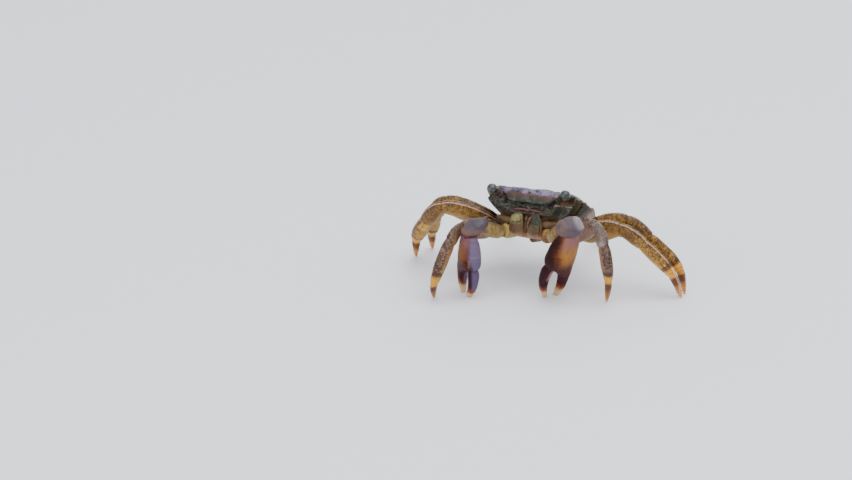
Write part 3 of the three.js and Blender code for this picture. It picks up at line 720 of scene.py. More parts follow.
def wrist_paint():
    """Grey-lilac wrist, with a painted highlight along its outer edge and a dark red crease towards
    the hand.
    """
    p = Paint("claw wrist", IOR=1.48)
    lay = p.mark("lay", "Vector")
    cloud = p.noise(lay, 0.35, 3.0)
    fine = p.noise(lay, 1.7, 3.0, 0.6)
    rim = p.mark("rim") + (cloud - 0.5) * 0.5
    colour = p.layers(
        tint("4c4248"), (cloud.over(0.46, 0.6) * 0.6, "352c2f"), (p.mark("inner") * 0.6, "7a5640"),
        # rim: a painted highlight, pale grey-white along the wrist's outer edge.
        (rim.over(0.25, 1.05) * 0.85, "b8aeac"), (fine.over(0.54, 0.68) * 0.25, "6b5e5c"),
        (cloud.over(0.5, 0.6) * 0.4, "5b4c4c"),
        (p.mark("crease") * 0.9, "541a17"))
    return p.done(colour, 0.36 + fine * 0.2, fine, 0.12)


def arm_paint():
    """Claw arm: brown-orange with cross lines and olive patches."""
    p = Paint("claw arm", IOR=1.5)
    lay = p.mark("lay", "Vector")
    height = p.mark("height")
    cloud = p.noise(lay, 0.35, 3.0)
    lines = p.noise(p.stretched(lay, 1.6, 0.4, 0.4), 0.9, 2.0, 0.5, 0.5)
    fine = p.noise(lay, 1.8, 3.0, 0.6)
    near_body = p.axes(lay)[0].over(6.0, 1.0)
    colour = p.layers(
        tint("866432"), (cloud.over(0.46, 0.6) * 0.75, "968349"),
        (cloud.over(0.46, 0.34) * 0.75, "553a26"), (near_body * 0.6, "a3935a"),
        (lines.over(0.5, 0.6) * height.over(-0.4, 0.6) * 0.8, "4b3029"),
        (height.over(0.4, 0.95) * 0.5, "4a3a3c"), (fine.over(0.6, 0.74) * 0.4, "c2a070"))
    return p.done(colour, 0.32 + fine * 0.22, lines, 0.12)


def plain_paint(name, ground, patch, spots, gloss, scale=0.8, **constants):
    """Mottled two-colour finish for small pieces."""
    p = Paint(name, **constants)
    spot = p.spot()
    cloud = p.noise(spot, scale, 3.0, 0.6, 0.4)
    fine = p.noise(spot, scale * 4, 3.0, 0.6)
    colour = p.layers(tint(ground), (cloud.over(0.44, 0.6), patch),
                      (fine.over(0.56, 0.7) * 0.7, spots))
    return p.done(colour, gloss + fine * 0.15, fine, 0.06)


def eye_paint():
    """Grey-green cornea with fine facets, brown round its foot and yellow below."""
    p = Paint("cornea", IOR=1.5, Specular_IOR_Level=0.5, Coat_Weight=0.4, Coat_Roughness=0.12)
    spot = p.spot()
    share, height = p.mark("share"), p.mark("height")
    cloud = p.noise(spot, 0.8, 3.0)
    facets = p.cells(spot, 7.0, "F1", 0.3)
    colour = p.layers(
        tint("1c2120"), (cloud.over(0.4, 0.62), "353c39"), (share.over(0.42, 0.2) * 0.8, "3d3524"),
        (facets.over(0.3, 0.6) * 0.25, "161a1a"),
        (height.over(-0.3, -0.8) * share.over(0.75, 0.4) * 0.8, "6f6a2c"))
    return p.done(colour, 0.14 + cloud * 0.12, facets, 0.03)


# ---- shell --------------------------------------------------------------------------------
COLUMNS_PER_STATION = 9
RINGS_ON_BACK = 86
RINGS_PER_WALL_STEP = 7
BACK_DROP = 0.75  # how far the middle of the back is lowered
RIM_START = 0.9  # share of the way out from the crown at which the teeth begin to show
RIM_SMOOTHING = 36  # columns averaged on each side, further in than that
LINE_HEIGHT, FLANK_LINE_HEIGHT = 0.16, 0.07
GROOVE_DEPTH, GROOVE_WIDTH = 0.42, 0.9
BACK_WAVE, FACE_WAVE, EDGE_BEADS = 0.08, 0.12, 0.1
TOOTH_SPIKE = ((-0.9, 0.6, -0.5), (0.1, -0.35, 0.5), 0.8)  # from the tooth's tip: foot, end, radius
# Lobes of the back: x, y, radius, height.
LOBES = [(2.7, -11.3, 1.9, 0.3), (6.4, -11.0, 1.7, 0.25), (13.5, -5.6, 2.6, 0.3),
         (4.5, -5.2, 3.0, 0.35), (11.5, 2.5, 4.2, 0.4), (0, 7.0, 2.6, 0.35)]
GROOVES = [  # paths on the back, x and y of the left half
    [(9.6, -8.0), (8.6, -4.6), (6.4, -1.6), (4.2, 0.8), (3.4, 3.2)],
    [(3.4, 3.2), (4.6, 6.0), (4.4, 9.0), (5.6, 12.0)],
    [(0, 3.6), (1.8, 3.9), (3.4, 3.2)],
    [(8.6, -4.6), (12.0, -3.6), (15.2, -4.0)],
    [(0, -13.0), (0, -10.2), (0, -8.2)],
]


def groove_depth(x, y, path, width):
    """1 on the path and 0 away from it, on both halves of the shell."""
    nearest = np.full(x.shape, 99.0)
    for (ax, ay), (bx, by) in zip(path, path[1:]):
        px, py = np.abs(x) - ax, y - ay
        dx, dy = bx - ax, by - ay
        t = np.clip((px * dx + py * dy) / (dx * dx + dy * dy), 0, 1)
        nearest = np.minimum(nearest, np.hypot(px - t * dx, py - t * dy))
    return bump(nearest, width)


def cross_lines(body):
    """Height of the fine cross lines of the back: short, broken and slanted on the sides."""
    x, y = np.abs(body[..., 0]), body[..., 1]
    slant = y - 0.014 * x * x - 0.42 * np.clip(x - 9, 0, None) * step(y, -8, 2)
    phase = slant / 1.25 + 0.32 * ripple(body, 9.0)
    wave = phase - np.floor(phase)
    saw = np.where(wave < 0.3, wave / 0.3, (1 - wave) / 0.7)
    broken = step(ripple(body * vec(1, 2.2, 1), 4.5, 0.3), -0.5, 0.35)
    strength = 0.45 + 0.55 * step(x, 5, 13)
    return saw * broken * strength


def shell_stations():
    """Zone and edge point of each station, all the way round."""
    left = [(zone, vec(x, y, z)) for zone, x, y, z in OUTLINE]
    right = [(zone, m * vec(-1, 1, 1)) for zone, m in left[1:-1][::-1]]
    return left + right


def wall_point(zone, margin, row):
    """Point of the shell's wall below an edge point, on one row of WALL."""
    inset, level, squeeze = WALL[zone][row]
    push = unit(vec(margin[0] / 338, (margin[1] - 1) / 225, 0))
    if zone == "orbit":
        push = vec(np.sign(margin[0]) * 0.25, -0.97, 0)
    z = level if zone in ("front", "orbit") else margin[2] + (WALL_FOOT - margin[2]) * level
    return vec((margin[0] - push[0] * inset) * squeeze, margin[1] - push[1] * inset, z)


def around_shell(values):
    """Values at the stations, drawn smoothly round the shell, with corners at the teeth."""
    values = np.asarray(values, float)
    count = len(values)
    corners = sorted([*TOOTH_STATIONS, *(count - s for s in TOOTH_STATIONS)])
    runs = []
    for a, b in zip(corners, corners[1:] + [corners[0] + count]):
        knots = np.arange(a, b + 1)
        at = np.arange(a, b, 1 / COLUMNS_PER_STATION)
        runs.append(eased(knots, values[knots % count], at))
    return np.concatenate(runs)


def softened(ring, reach):
    """A ring of points averaged over its neighbours, so that it has no corners."""
    weights = bump(np.arange(-reach, reach + 1), reach / 2)
    wide = np.concatenate((ring[-reach:], ring, ring[:reach]))
    return np.stack([np.convolve(line, weights / weights.sum(), "valid") for line in wide.T], -1)


def shell_relief(grid, drop, edge, zones):
    """Height of the lines, lobes, grooves and beads over the shell's smooth form."""
    x, y, z = np.moveaxis(grid, -1, 0)
    on_back = drop == 0
    fade = step(edge, 1.0, 0.95) * np.ones_like(x)
    ridge = cross_lines(grid) * on_back
    relief = LINE_HEIGHT * ridge * (0.35 + 0.65 * fade)
    for lx, ly, size, tall in LOBES:
        away = ((np.abs(x) - lx) ** 2 + (y - ly) ** 2) / size ** 2
        relief += tall * np.exp(-away) * fade * on_back
    for path in GROOVES:
        relief -= GROOVE_DEPTH * groove_depth(x, y, path, GROOVE_WIDTH) * fade * on_back
    relief += BACK_WAVE * ripple(grid, 5.0) * fade * on_back
    relief -= BACK_DROP * step(y, -11.2, -6.0) * step(edge, 1.0, 0.62) * on_back
    beads = np.abs(np.sin(np.arange(x.shape[1]) * math.pi / 3.0))
    relief += EDGE_BEADS * beads * bump(edge - 1.0, 0.012) * (drop < 0.2)
    flank = zones["side"] * step(drop, 0.2, 0.8)
    lines = np.sin((z * 1.1 - y * 0.55) * 6.0 + 1.6 * ripple(grid, 6.0))
    relief += FLANK_LINE_HEIGHT * lines * flank * step(drop, 5.0, 4.2)
    relief += FACE_WAVE * ripple(grid, 2.2, 0.5) * (1 - on_back) * zones["front"]
    return relief, ridge


def make_shell(paint):
    """Back, face and side walls in one skin, with spikes on the second and third side teeth."""
    stations = shell_stations()
    margin = around_shell([m for _, m in stations])
    flat = around_shell([FLATNESS[zone] for zone, _ in stations])
    zones = {z: around_shell([float(zone == z) for zone, _ in stations]) for z in WALL}
    share = np.linspace(0, 1, RINGS_ON_BACK + 1)[1:] ** 0.92
    crown = vec(*CROWN)
    toothed = step(share, RIM_START, 1.0)[:, None, None]
    outline = softened(margin, RIM_SMOOTHING) * (1 - toothed) + margin * toothed
    back = crown + (outline - crown) * share[:, None, None]
    back[..., 2] = crown[2] + (margin[:, 2] - crown[2]) * share[:, None] ** flat
    steps = len(WALL["side"])
    rows = [margin] + [around_shell([wall_point(z, m, r) for z, m in stations])
                       for r in range(steps)]
    fine = np.linspace(0, steps, steps * RINGS_PER_WALL_STEP + 1)[1:]
    wall = eased(np.arange(steps + 1), np.stack(rows), fine)
    grid = np.concatenate((back, wall))
    drop = np.concatenate((np.zeros(len(back)), fine))[:, None] * np.ones(len(margin))
    edge = np.concatenate((share, np.ones(len(fine))))[:, None]
    relief, ridge = shell_relief(grid, drop, edge, zones)
    out = outward(grid, vec(0, 1, -5))
    out = np.where(((drop == 0) & (out[..., 2] < 0))[..., None], -out, out)
    grid = grid + out * relief[..., None]
    tips = [*TOOTH_STATIONS, *(len(stations) - s for s in TOOTH_STATIONS)]
    column = np.concatenate([np.arange(0, 1, 1 / COLUMNS_PER_STATION) + s
                             for s in station_order(stations)])
    nearest = np.min([np.abs(column - t) for t in tips], axis=0)
    tooth = bump(nearest, 0.4) * bump(edge - 1, 0.035) * (drop < 1)
    shape = Shape()
    shape.loft(pitched(grid), body=grid, drop=drop, ridge=ridge, tooth=tooth,
               **{zone: zones[zone] * np.ones_like(drop) for zone in ("orbit", "side", "rear")})
    foot, end, radius = TOOTH_SPIKE
    for sign in (1, -1):
        for station in TOOTH_STATIONS[1:]:
            rim = np.array(OUTLINE[station][1:])
            base, tip = rim + foot, rim + end
            shape.spike(pitched(mirrored(base, sign)), pitched(mirrored(tip, sign)), radius,
                        14, 10, 0.2, body=base * np.ones((1, 1, 3)), drop=1.0, ridge=0.0,
                        tooth=0.35, orbit=0.0, side=1.0, rear=0.0)
    shape.piece("shell", paint, "shell", "carapace")


def station_order(stations):
    """The station that each run of columns starts at."""
    first = TOOTH_STATIONS[0]
    return [(first + k) % len(stations) for k in range(len(stations))]


# ---- small round forms --------------------------------------------------------------------
def horn(path, radii, sides=16, rows=24, flat=1.0, square=1.0):
    """A round-section horn along a chain of points, drawn smoothly."""
    path, radii = np.asarray(path, float), np.asarray(radii, float)
    reach = np.concatenate(([0], np.cumsum(np.linalg.norm(np.diff(path, axis=0), axis=1))))
    at = np.linspace(0, 1, rows)
    centres = eased(reach / reach[-1], path, at)
    size = eased(reach / reach[-1], radii, at)
    run = unit(np.gradient(centres, axis=0))
    side = unit(np.cross(vec(0, 0, 1), run))
    up = np.cross(run, side)
    grid, marks = ring_grid(centres, up, side, size * flat, size * flat, size, sides, square)
    marks["share"] = at[:, None] * np.ones(sides)
    return grid, marks


def ball(centre, radii, axes=None, rows=12, sides=20):
    """An egg shape; axes are its three directions."""
    a, b, c = np.eye(3) if axes is None else axes
    lift = np.linspace(-1.45, 1.45, rows)
    centres = centre + np.sin(lift)[:, None] * radii[0] * a
    size = np.cos(lift)
    grid, _ = ring_grid(centres, b, c, size * radii[1], size * radii[1], size * radii[2], sides)
    return grid


# ---- eyes and feelers ---------------------------------------------------------------------
CORNEA_SHRINK, CORNEA_SHORTER = 0.93, 0.18  # the eye is a little smaller than its solid


def make_eye(which, sign, stalk_paint, eye_finish, feeler_finish):
    """Eye stalk, cornea and the ringed feeler beside them."""
    drop = vec(0, 0, EYE_DROP[which])
    start = pitched(mirrored(EYE_STALK[0], sign) - 0.4 * drop)
    end = pitched(mirrored(EYE_STALK[1], sign) - drop)
    radius = EYE_STALK[2]
    t = np.array((0, 0.15, 0.6, 0.9, 1))[:, None]
    path = start + (end - start) * t
    grid, marks = horn(path, radius * np.array((0.7, 1.0, 0.95, 1.2, 1.1)), 24, 24)
    shape = Shape()
    grid = pushed(grid, 0.06 * ripple(grid, 1.6))
    shape.loft(grid, **marks)
    shape.piece(which + "_eye_stalk_skin", stalk_paint, "eye_stalk", which + "_eye_stalk")
    centre = pitched(mirrored(EYE[0], sign) - drop)
    axis = unit(centre - end)
    begin, far = end + axis * GAP, centre + axis * (EYE[1] - CORNEA_SHORTER)
    t = np.array((0, 0.1, 0.22, 0.5, 0.78, 0.95, 1.0))
    sizes = np.array((0.62, 0.8, 0.92, 1, 0.77, 0.42, 0.16)) * EYE[1] * CORNEA_SHRINK
    grid, marks = horn(begin + (far - begin) * t[:, None], sizes, 40, 40)
    shape = Shape()
    shape.loft(grid, **marks)
    shape.piece(which + "_eye_bulb", eye_finish, "eye", which + "_eye")
    path = pitched(mirrored(FEELER_PATH, sign))
    grid, marks = horn(path, np.array(FEELER_RADII) * (0.8, 0.65, 0.6, 0.7), 12, 60)
    rings = np.sin(marks["share"] * 80) * 0.04 * step(marks["share"], 0.3, 0.5)
    swell = 0.18 * bump(marks["share"] - 0.14, 0.07)
    shape = Shape()
    shape.loft(pushed(grid, rings + swell))
    shape.piece(which + "_feeler_rings", feeler_finish, "eye_stalk", which + "_feeler")


# ---- mouth --------------------------------------------------------------------------------
def make_mouth(which, sign, paint):
    """Outer mouth foot: ischium and merus plates, palp folded in, and the slim outer branch."""
    rows, sides = 60, 40
    table = np.array(MOUTH_PLATE)
    at = np.linspace(table[0, 0], table[-1, 0], rows)
    line = eased(-table[:, 0], table[:, 1:], -at)
    centres = np.stack((sign * line[:, 0], line[:, 1], at), -1)
    grid, marks = ring_grid(centres, (0, -1, 0), (1, 0, 0), PLATE_HALF_THICKNESS,
                            PLATE_HALF_THICKNESS, line[:, 2], sides, 0.7)
    outside = marks["height"] > 0
    across = sign * (grid[..., 0] - sign * line[:, None, 0]) / line[:, None, 2]
    joint = bump(at[:, None] + 12.1 + 0.35 * across, 0.16)
    furrow = bump(across + 0.35, 0.14) * step(at[:, None], -12.6, -13.2)
    rim = step(np.abs(across), 0.72, 0.9)
    relief = (-0.16 * joint - 0.14 * furrow + 0.05 * rim) * outside
    grid = grid + relief[..., None] * vec(0, -1, 0)
    shape = Shape()
    shape.loft(pitched(grid), body=grid, groove=joint * outside, tip=0.0)
    palp = mirrored([(1.9, -14.1, -9.6), (1.35, -14.5, -11.2), (1.05, -14.5, -12.4),
                     (1.0, -14.2, -13.7)], sign)
    for a, b, size in zip(palp, palp[1:], (0.62, 0.52, 0.4)):
        t = np.array((0, 0.2, 0.7, 1))[:, None]
        seg, _ = horn(a + (b - a) * t, size * np.array((0.6, 1, 0.95, 0.6)), 14, 12)
        shape.loft(pitched(seg), body=seg, groove=0.0, tip=1.0)
    branch = mirrored([(5.5, -12.2, -15.8), (5.75, -12.9, -13.4), (5.6, -13.5, -11.2),
                       (5.0, -14.0, -9.7), (4.2, -14.2, -9.3)], sign)
    seg, _ = horn(branch, (0.5, 0.55, 0.45, 0.25, 0.15), 14, 30)
    shape.loft(pitched(seg), body=seg, groove=0.0, tip=0.5)
    shape.piece(which + "_mouth_foot", paint, "mouth", which + "_mouth_plate")


def make_face(bar_paint, deep_paint, dark_paint):
    """Mouth frame, the small folded feelers, and the jaw between the mouth plates."""
    shape = Shape()
    t = np.linspace(-1, 1, 9)
    path = np.stack((6.0 * t, -13.5 + 0.5 * t * t, -7.3 - 0.15 * np.cos(t * 9)), -1)
    grid, _ = horn(path, 0.34 * np.sqrt(1.03 - t ** 8), 12, 90, 1.1)
    shape.loft(pitched(grid), body=grid)
    shape.piece("mouth_frame", bar_paint, "mouth")
    shape = Shape()
    jaw = np.array([(0, -12.9, -9.6), (0, -13.4, -11.0), (0, -13.3, -13.0), (0, -12.6, -15.6)])
    grid, _ = horn(jaw, (0.5, 0.75, 0.7, 0.5), 14, 20)
    shape.loft(pitched(grid), body=grid)
    shape.piece("jaw", deep_paint, "mouth")
    shape = Shape()
    for sign in (1, -1):
        for a, b, size in (((1.0, -13.2, -6.5), (2.4, -13.4, -5.8), 0.42),
                           ((2.4, -13.4, -5.8), (4.3, -13.4, -6.0), 0.38),
                           ((4.5, -13.4, -6.5), (6.2, -13.3, -6.2), 0.45)):
            a, b = mirrored(a, sign), mirrored(b, sign)
            t = np.array((0, 0.2, 0.75, 1))[:, None]
            seg, _ = horn(a + (b - a) * t, size * np.array((0.55, 1, 0.95, 0.5)), 12, 12)
            shape.loft(pitched(seg), body=seg)
    shape.piece("small_feelers", dark_paint, "mouth")


def make_orbit_teeth(paint):
    """A row of small blunt teeth under each eye."""
    shape = Shape()
    for sign in (1, -1):
        for k in range(11):
            t = k / 10
            x = 9.9 + 5.6 * t
            y = -12.6 + 1.5 * t + 0.8 * (1 - t) ** 2
            base = vec(sign * x, y - 0.1, -4.75 + 0.9 * t * t)
            shape.spike(pitched(base), pitched(base + vec(sign * 0.05, -0.35, 0.18)), 0.26,
                        7, 5, 0.45)
    shape.piece("orbit_teeth", paint, "shell")


# ---- underside ----------------------------------------------------------------------------
BREAST_SEAMS = (-7.2, -2.6, 1.9, 6.3, 10.0)  # y of the seams across the breastplate
TAIL_SEAMS = (0.1, 0.24, 0.4, 0.55, 0.7, 0.86)  # shares of the tail's length
TAIL_DRAWN_IN = (1.5, 1.6, 0.8)  # brings the first points of the tail close to the shell
TAIL_START_RAISED = 0.6
CHEEK = [(4.6, -12.2, -12.1), (7.6, -11.0, -11.9), (11.0, -8.4, -11.7), (14.0, -4.4, -11.3)]
CHEEK_RADII = (0.7, 1.45, 1.4, 0.4)
HIP_SPAN = (-1.4, 1.12)  # a hip starts inside the breastplate and ends past its own length


def add_hip(shape, sign, place, direction, radius, length):
    """A ringed bead that a limb starts from."""
    centre, axis = mirrored(place, sign), unit(mirrored(direction, sign))
    side = unit(np.cross(vec(0, 0, 1), axis))
    up = np.cross(axis, side)
    knots = np.array((HIP_SPAN[0], 0.2, 0.62, 0.75, 0.86, 1.0, HIP_SPAN[1]))
    size = np.array((0.8, 1.0, 0.98, 0.9, 0.94, 0.74, 0.4)) * radius
    t = np.linspace(*HIP_SPAN, 34)
    width = eased(knots, size, t)
    grid, _ = ring_grid(centre + axis * (t * length)[:, None], up, side,
                        width, width, width * 0.88, 36)
    shape.loft(pitched(grid), body=grid, groove=bump(t - 0.76, 0.07)[:, None],
               tip=step(t, 0.3, 0.7)[:, None])


def make_breastplate(paint):
    """Seamed plate under the body, with the hips and the cheeks that reach up to the face."""
    shape = Shape()
    table = np.array(BREAST)
    at = np.linspace(table[0, 0], table[-1, 0], 90)
    half, top, bottom = eased(table[:, 0], table[:, 1:], at).T
    centres = np.stack((0 * at, at, (top + bottom) / 2), -1)
    grid, marks = ring_grid(centres, (0, 0, 1), (1, 0, 0), (top - bottom) / 2,
                            (top - bottom) / 2, half, 72, 0.6)
    x, y = np.abs(grid[..., 0]), grid[..., 1]
    lower = step(-marks["height"], 0.1, 0.7)
    seams = np.zeros_like(x)
    for place in BREAST_SEAMS:
        seams += bump(y - place - 0.1 * x, 0.28)
    trough = bump(x, 3.0) * step(y, -6, -2)
    grid = grid + (0.35 * seams * lower + 0.5 * trough * lower)[..., None] * vec(0, 0, 1)
    shape.loft(pitched(grid), body=grid, groove=seams * lower, tip=0.0)
    for sign in (1, -1):
        for hip in HIPS:
            add_hip(shape, sign, *hip)
    for sign in (1, -1):
        grid, _ = horn(mirrored(CHEEK, sign), CHEEK_RADII, 32, 60)
        grid = pushed(grid, 0.12 * ripple(grid, 2.4) + 0.05 * ripple(grid, 1.0))
        shape.loft(pitched(grid), body=grid, groove=1.9, tip=0.0)
    shape.piece("breastplate", paint, "underside", "underside")


def make_tail(paint):
    """Tail flap of narrow plates, folded under the body."""
    path = np.array(TAIL_PATH)
    path[:len(TAIL_DRAWN_IN), 0] -= TAIL_DRAWN_IN
    path[0, 1] += TAIL_START_RAISED
    reach = np.concatenate(([0], np.cumsum(np.hypot(*np.diff(path[:, :2], axis=0).T))))
    reach /= reach[-1]
    at = np.linspace(0, 1, 120)
    y, z, half = eased(reach, path, at).T
    run = unit(np.stack((0 * y, np.gradient(y), np.gradient(z)), -1))
    out = np.stack((0 * y, run[:, 2], -run[:, 1]), -1)
    ends = rounded_ends(at, 30, 0.4, 0.8, 1.2)
    seams = sum(bump(at - place, 0.012) for place in TAIL_SEAMS)
    half = half * (1 - 0.05 * seams)
    grid, marks = ring_grid(np.stack((0 * y, y, z), -1), out, (1, 0, 0),
                            0.4 * ends, 0.4 * ends, half * ends, 48, 0.75)
    swell = 0.1 * np.cos(np.clip(np.abs(marks["facing"]), 0, 1) * 1.5) - 0.2 * seams[:, None]
    swell = swell * np.sign(marks["height"]) + 0.9 * marks["facing"] ** 2
    grid = grid + swell[..., None] * out[:, None]
    shape = Shape()
    shape.loft(pitched(grid), body=grid, groove=(1.2 + 0.5 * seams)[:, None], tip=0.0)
    shape.piece("tail_plates", paint, "underside", "tail_flap")


# ---- walking legs -------------------------------------------------------------------------
LEG_ROWS = {"merus": 110, "carpus": 60, "propodus": 90, "dactyl": 70}
LEG_SIDES = 48
LEG_BRISTLES = {"carpus": 26, "propodus": 150, "dactyl": 60}
BRISTLE_RADIUS = 0.055
CREST_PLACE = 0.35  # how far ahead of the leg's middle its crest runs
MAUVE = {"left_leg_1": 0.9, "right_leg_1": 0.8, "left_leg_4": 0.75}  # greyer legs
# The pale line along the crest is a painted highlight; these are its half-widths.
CREST_HIGHLIGHT = {"left_leg_2": 0.38, "right_leg_2": 0.34}  # half-width of the pale line


def bent_line(a, b, leave, arrive, firmness, t):
    """Points and directions on the curved centre-line between two joints."""
    pull = np.linalg.norm(b - a) * firmness
    c, d = a + leave * pull, b - arrive * pull
    t = t[:, None]
    points = a * (1 - t) ** 3 + c * 3 * t * (1 - t) ** 2 + d * 3 * t * t * (1 - t) + b * t ** 3
    runs = (c - a) * (1 - t) ** 2 + (d - c) * 2 * t * (1 - t) + (b - d) * t * t
    return points, unit(runs)


def even_steps(a, b, leave, arrive, firmness, share):
    """Curve values at which the given shares of the length are reached."""
    t = np.linspace(0, 1, 400)
    points, _ = bent_line(a, b, leave, arrive, firmness, t)
    reach = np.concatenate(([0], np.cumsum(np.linalg.norm(np.diff(points, axis=0), axis=1))))
    return np.interp(share, reach / reach[-1], t), reach[-1]


def leg_rings(curve, piece, first, scale, side):
    """Middles, directions and half-sizes along one piece of a leg."""
    standing = piece == "dactyl"
    _, length = even_steps(*curve, np.zeros(1))
    nest = 0 if first else LEG_NEST * scale / length
    share = np.linspace(-nest, 1, LEG_ROWS[piece])
    start = GAP * 0.55 / length
    end = 1 if standing else 1 - start
    t, _ = even_steps(*curve, np.clip(start + (end - start) * share, 0, 1))
    centres, runs = bent_line(*curve, t)
    centres += runs * np.minimum(share, 0)[:, None] * length
    table = np.array(LEG_PIECES[piece])
    above, below, half = (eased(table[:, 0], table[:, 1:], np.maximum(share, 0)) * scale).T
    ends = rounded_ends(share, length, 0.4 if first else 0, 0 if standing else 0.35, 2.8)
    if not first:
        ends *= 1 - 0.3 * step(share, 0.1 * nest, -nest)
    return SimpleNamespace(
        standing=standing, length=length, share=share, ends=ends, scale=scale, side=side,
        centres=centres, runs=runs, ups=unit(np.cross(runs, side)),
        above=above, below=below, half=half)


def skin_reach(limb, k, turn):
    """From the middle of ring k out to the skin, at an angle round the leg."""
    tall = limb.above[k] if turn > 0 else limb.below[k]
    return limb.side * math.cos(turn) * limb.half[k] + limb.ups[k] * math.sin(turn) * tall


def leg_skin(limb, name, i, ahead, offset):
    """Grid and marks of one leg piece; offset sets its pattern apart from the other legs'."""
    share, ends = limb.share, limb.ends
    tall, wide = limb.above[:, None], limb.half[:, None]
    grid, marks = ring_grid(limb.centres, limb.ups, limb.side, limb.above * ends,
                            limb.below * ends, limb.half * ends, LEG_SIDES, 0.92)
    height, facing = marks["height"], marks["facing"] * ahead
    along = share[:, None] * limb.length * np.ones(LEG_SIDES) + 40.0 * i + offset
    lay = np.stack((along, height * tall, facing * wide), -1)
    from_crest = np.abs(facing * wide - CREST_PLACE) + 9 * (height < 0)
    ridge = bump((np.abs(height - 0.1)) * tall, 0.8)
    fade = (step(share, 0, 0.08) * step(share, 1, 0.9))[:, None]
    if limb.standing:
        furrow = bump(np.abs(height) - 0.45, 0.18)
        relief = (0.05 * ripple(grid, 1.5) - 0.1 * furrow + 0.08 * ridge) * fade
        relief *= step(share, 0.97, 0.9)[:, None]
    else:
        wave = np.sin(along * 5.2 + 1.8 * ripple(grid, 3.0))
        texture = step(wave, 0.1, 0.9) * step(height, -0.3, 0.3)
        relief = (0.2 * ridge + 0.12 * bump(from_crest, 0.4) + 0.07 * texture
                  + 0.05 * ripple(grid, 2.5)) * fade
    grid = pushed(grid, relief * limb.scale)
    if limb.standing:
        grid[-1, :, 2] = 0
    grid[..., 2] = np.maximum(grid[..., 2], 0)
    return grid, dict(lay=lay, share=share[:, None], height=height, facing=facing,
                      line=from_crest / CREST_HIGHLIGHT.get(name, 0.05))


def add_merus_spines(shape, limb, marks):
    """One spine above and one below, near the far end."""
    k = -6
    for sign, rise in ((1.0, 0.55), (-1.0, 0.9)):
        tall = limb.above[k] if sign > 0 else -limb.below[k]
        base = limb.centres[k] + limb.ups[k] * tall * 0.86
        tip = base + (limb.runs[k] * 1.1 + limb.ups[k] * sign * rise) * limb.scale
        shape.spike(base, tip, 0.42 * limb.scale, 10, 7, 0.2, **marks)


def add_tip_spines(shape, limb, marks):
    """Four rows of short spines along the last piece."""
    for row in np.linspace(0.16, 0.86, 7):
        k = int(row * (len(limb.share) - 1))
        for turn in (0.6, -0.6, 2.54, -2.54):
            reach = skin_reach(limb, k, turn)
            base = limb.centres[k] + reach * 0.9
            tip = base + (unit(reach) * 0.5 + limb.runs[k] * 0.75) * limb.scale * 0.75
            tip[2] = max(tip[2], 0.05)
            shape.spike(base, tip, 0.13 * limb.scale, 6, 4, 0.2, **dict(marks, share=0.3))


def add_bristles(bristles, limb, piece, rng):
    """Fine bristles along the upper and lower edges, leaning towards the tip."""
    rows = len(limb.share)
    for _ in range(LEG_BRISTLES[piece]):
        k = int(rng.uniform(0.06, 0.75 if limb.standing else 0.94) * (rows - 1))
        turn = (math.pi / 2 if rng.random() < 0.55 else -math.pi / 2) + rng.normal(0, 0.25)
        reach = skin_reach(limb, k, turn)
        base = limb.centres[k] + reach * 0.97
        long = rng.uniform(0.4, 1.0) * limb.scale
        lean = unit(reach) * 0.4 + limb.runs[k] * 0.9 + limb.side * rng.normal(0, 0.2)
        tip = base + unit(lean) * long
        tip[2] = max(tip[2], 0.03)
        bristles.bristle(base, tip, BRISTLE_RADIUS, k / rows, (turn + 4) / 8)


def make_leg(name, paints, hair):
    """Four leg pieces with their spines, the skins at their joints, and the bristles."""
    joints = [np.array(p, float) for p in LEGS[name]]
    scale = LEG_SCALE[name[-1]]
    axes = [unit(b - a) for a, b in zip(joints, joints[1:])]
    side = unit(np.cross(axes[0], joints[4] - joints[0]))
    ahead = -1 if side[1] > 0 else 1
    rng = np.random.default_rng(sum(map(ord, name)))
    halving = [unit(axes[max(i - 1, 0)] + axes[min(i, 3)]) for i in range(5)]
    skins, bristles = Shape(), Shape()
    for i, piece in enumerate(LEG_PIECES):
        curve = (joints[i], joints[i + 1], halving[i], halving[i + 1], LEG_FIRMNESS[piece])
        limb = leg_rings(curve, piece, i == 0, scale, side)
        common = dict(part=float(i), mauve=MAUVE.get(name, 0.0))
        grid, marks = leg_skin(limb, name, i, ahead, rng.uniform(0, 30))
        shape = Shape()
        shape.loft(grid, **marks, **common)
        plain = dict(lay=np.zeros((1, 1, 3)), share=0.2, height=0.6, facing=0.0, line=9.0,
                     **common)
        if piece == "merus":
            add_merus_spines(shape, limb, plain)
        if limb.standing:
            add_tip_spines(shape, limb, plain)
        kind = "leg_tip" if limb.standing else "leg"
        shape.piece(f"{name}_{piece}_shell", paints[kind], kind, f"{name}_{piece}")
        if i:
            size = np.array((0.75, 1.75 if i < 3 else 1.2, 1.45 if i < 3 else 1.0)) * scale
            skins.loft(ball(joints[i] + limb.ups[0] * -0.25, size,
                            (limb.runs[0], limb.ups[0], side), 12, 24))
        if piece in LEG_BRISTLES:
            add_bristles(bristles, limb, piece, rng)
    skins.piece(name + "_joint_skin", paints["joint"], "leg")
    bristles.map_bristles(bristles.piece(name + "_bristles", hair, "leg"))


# ---- claws --------------------------------------------------------------------------------
PALM_MESH = dict(count=180, sides=72, neck=0.07)  # rings, points in each, and run-on
FINGER_MESH = dict(count=110, sides=56, neck=0.05)
CUTTING_EDGE = (0.56, 0.93)  # shares of the hand's length
CUTTING_TEETH = 6


def claw_axes(claw):
    """Start and end of the hand, its direction, the way to its fixed finger, and its outside."""
    wrist, tip = vec(*claw["wrist"]), vec(*claw["tip"])
    axis = unit(tip - wrist)
    across, out = vec(*claw["across"]), vec(*claw["out"])
    up = unit(across - axis * (across @ axis))
    side = unit(out - axis * (out @ axis))
    base = wrist + axis * (WRIST_REACH + GAP) + out * PALM_FORWARD
    return base, tip + out * PALM_FORWARD, axis, up, side


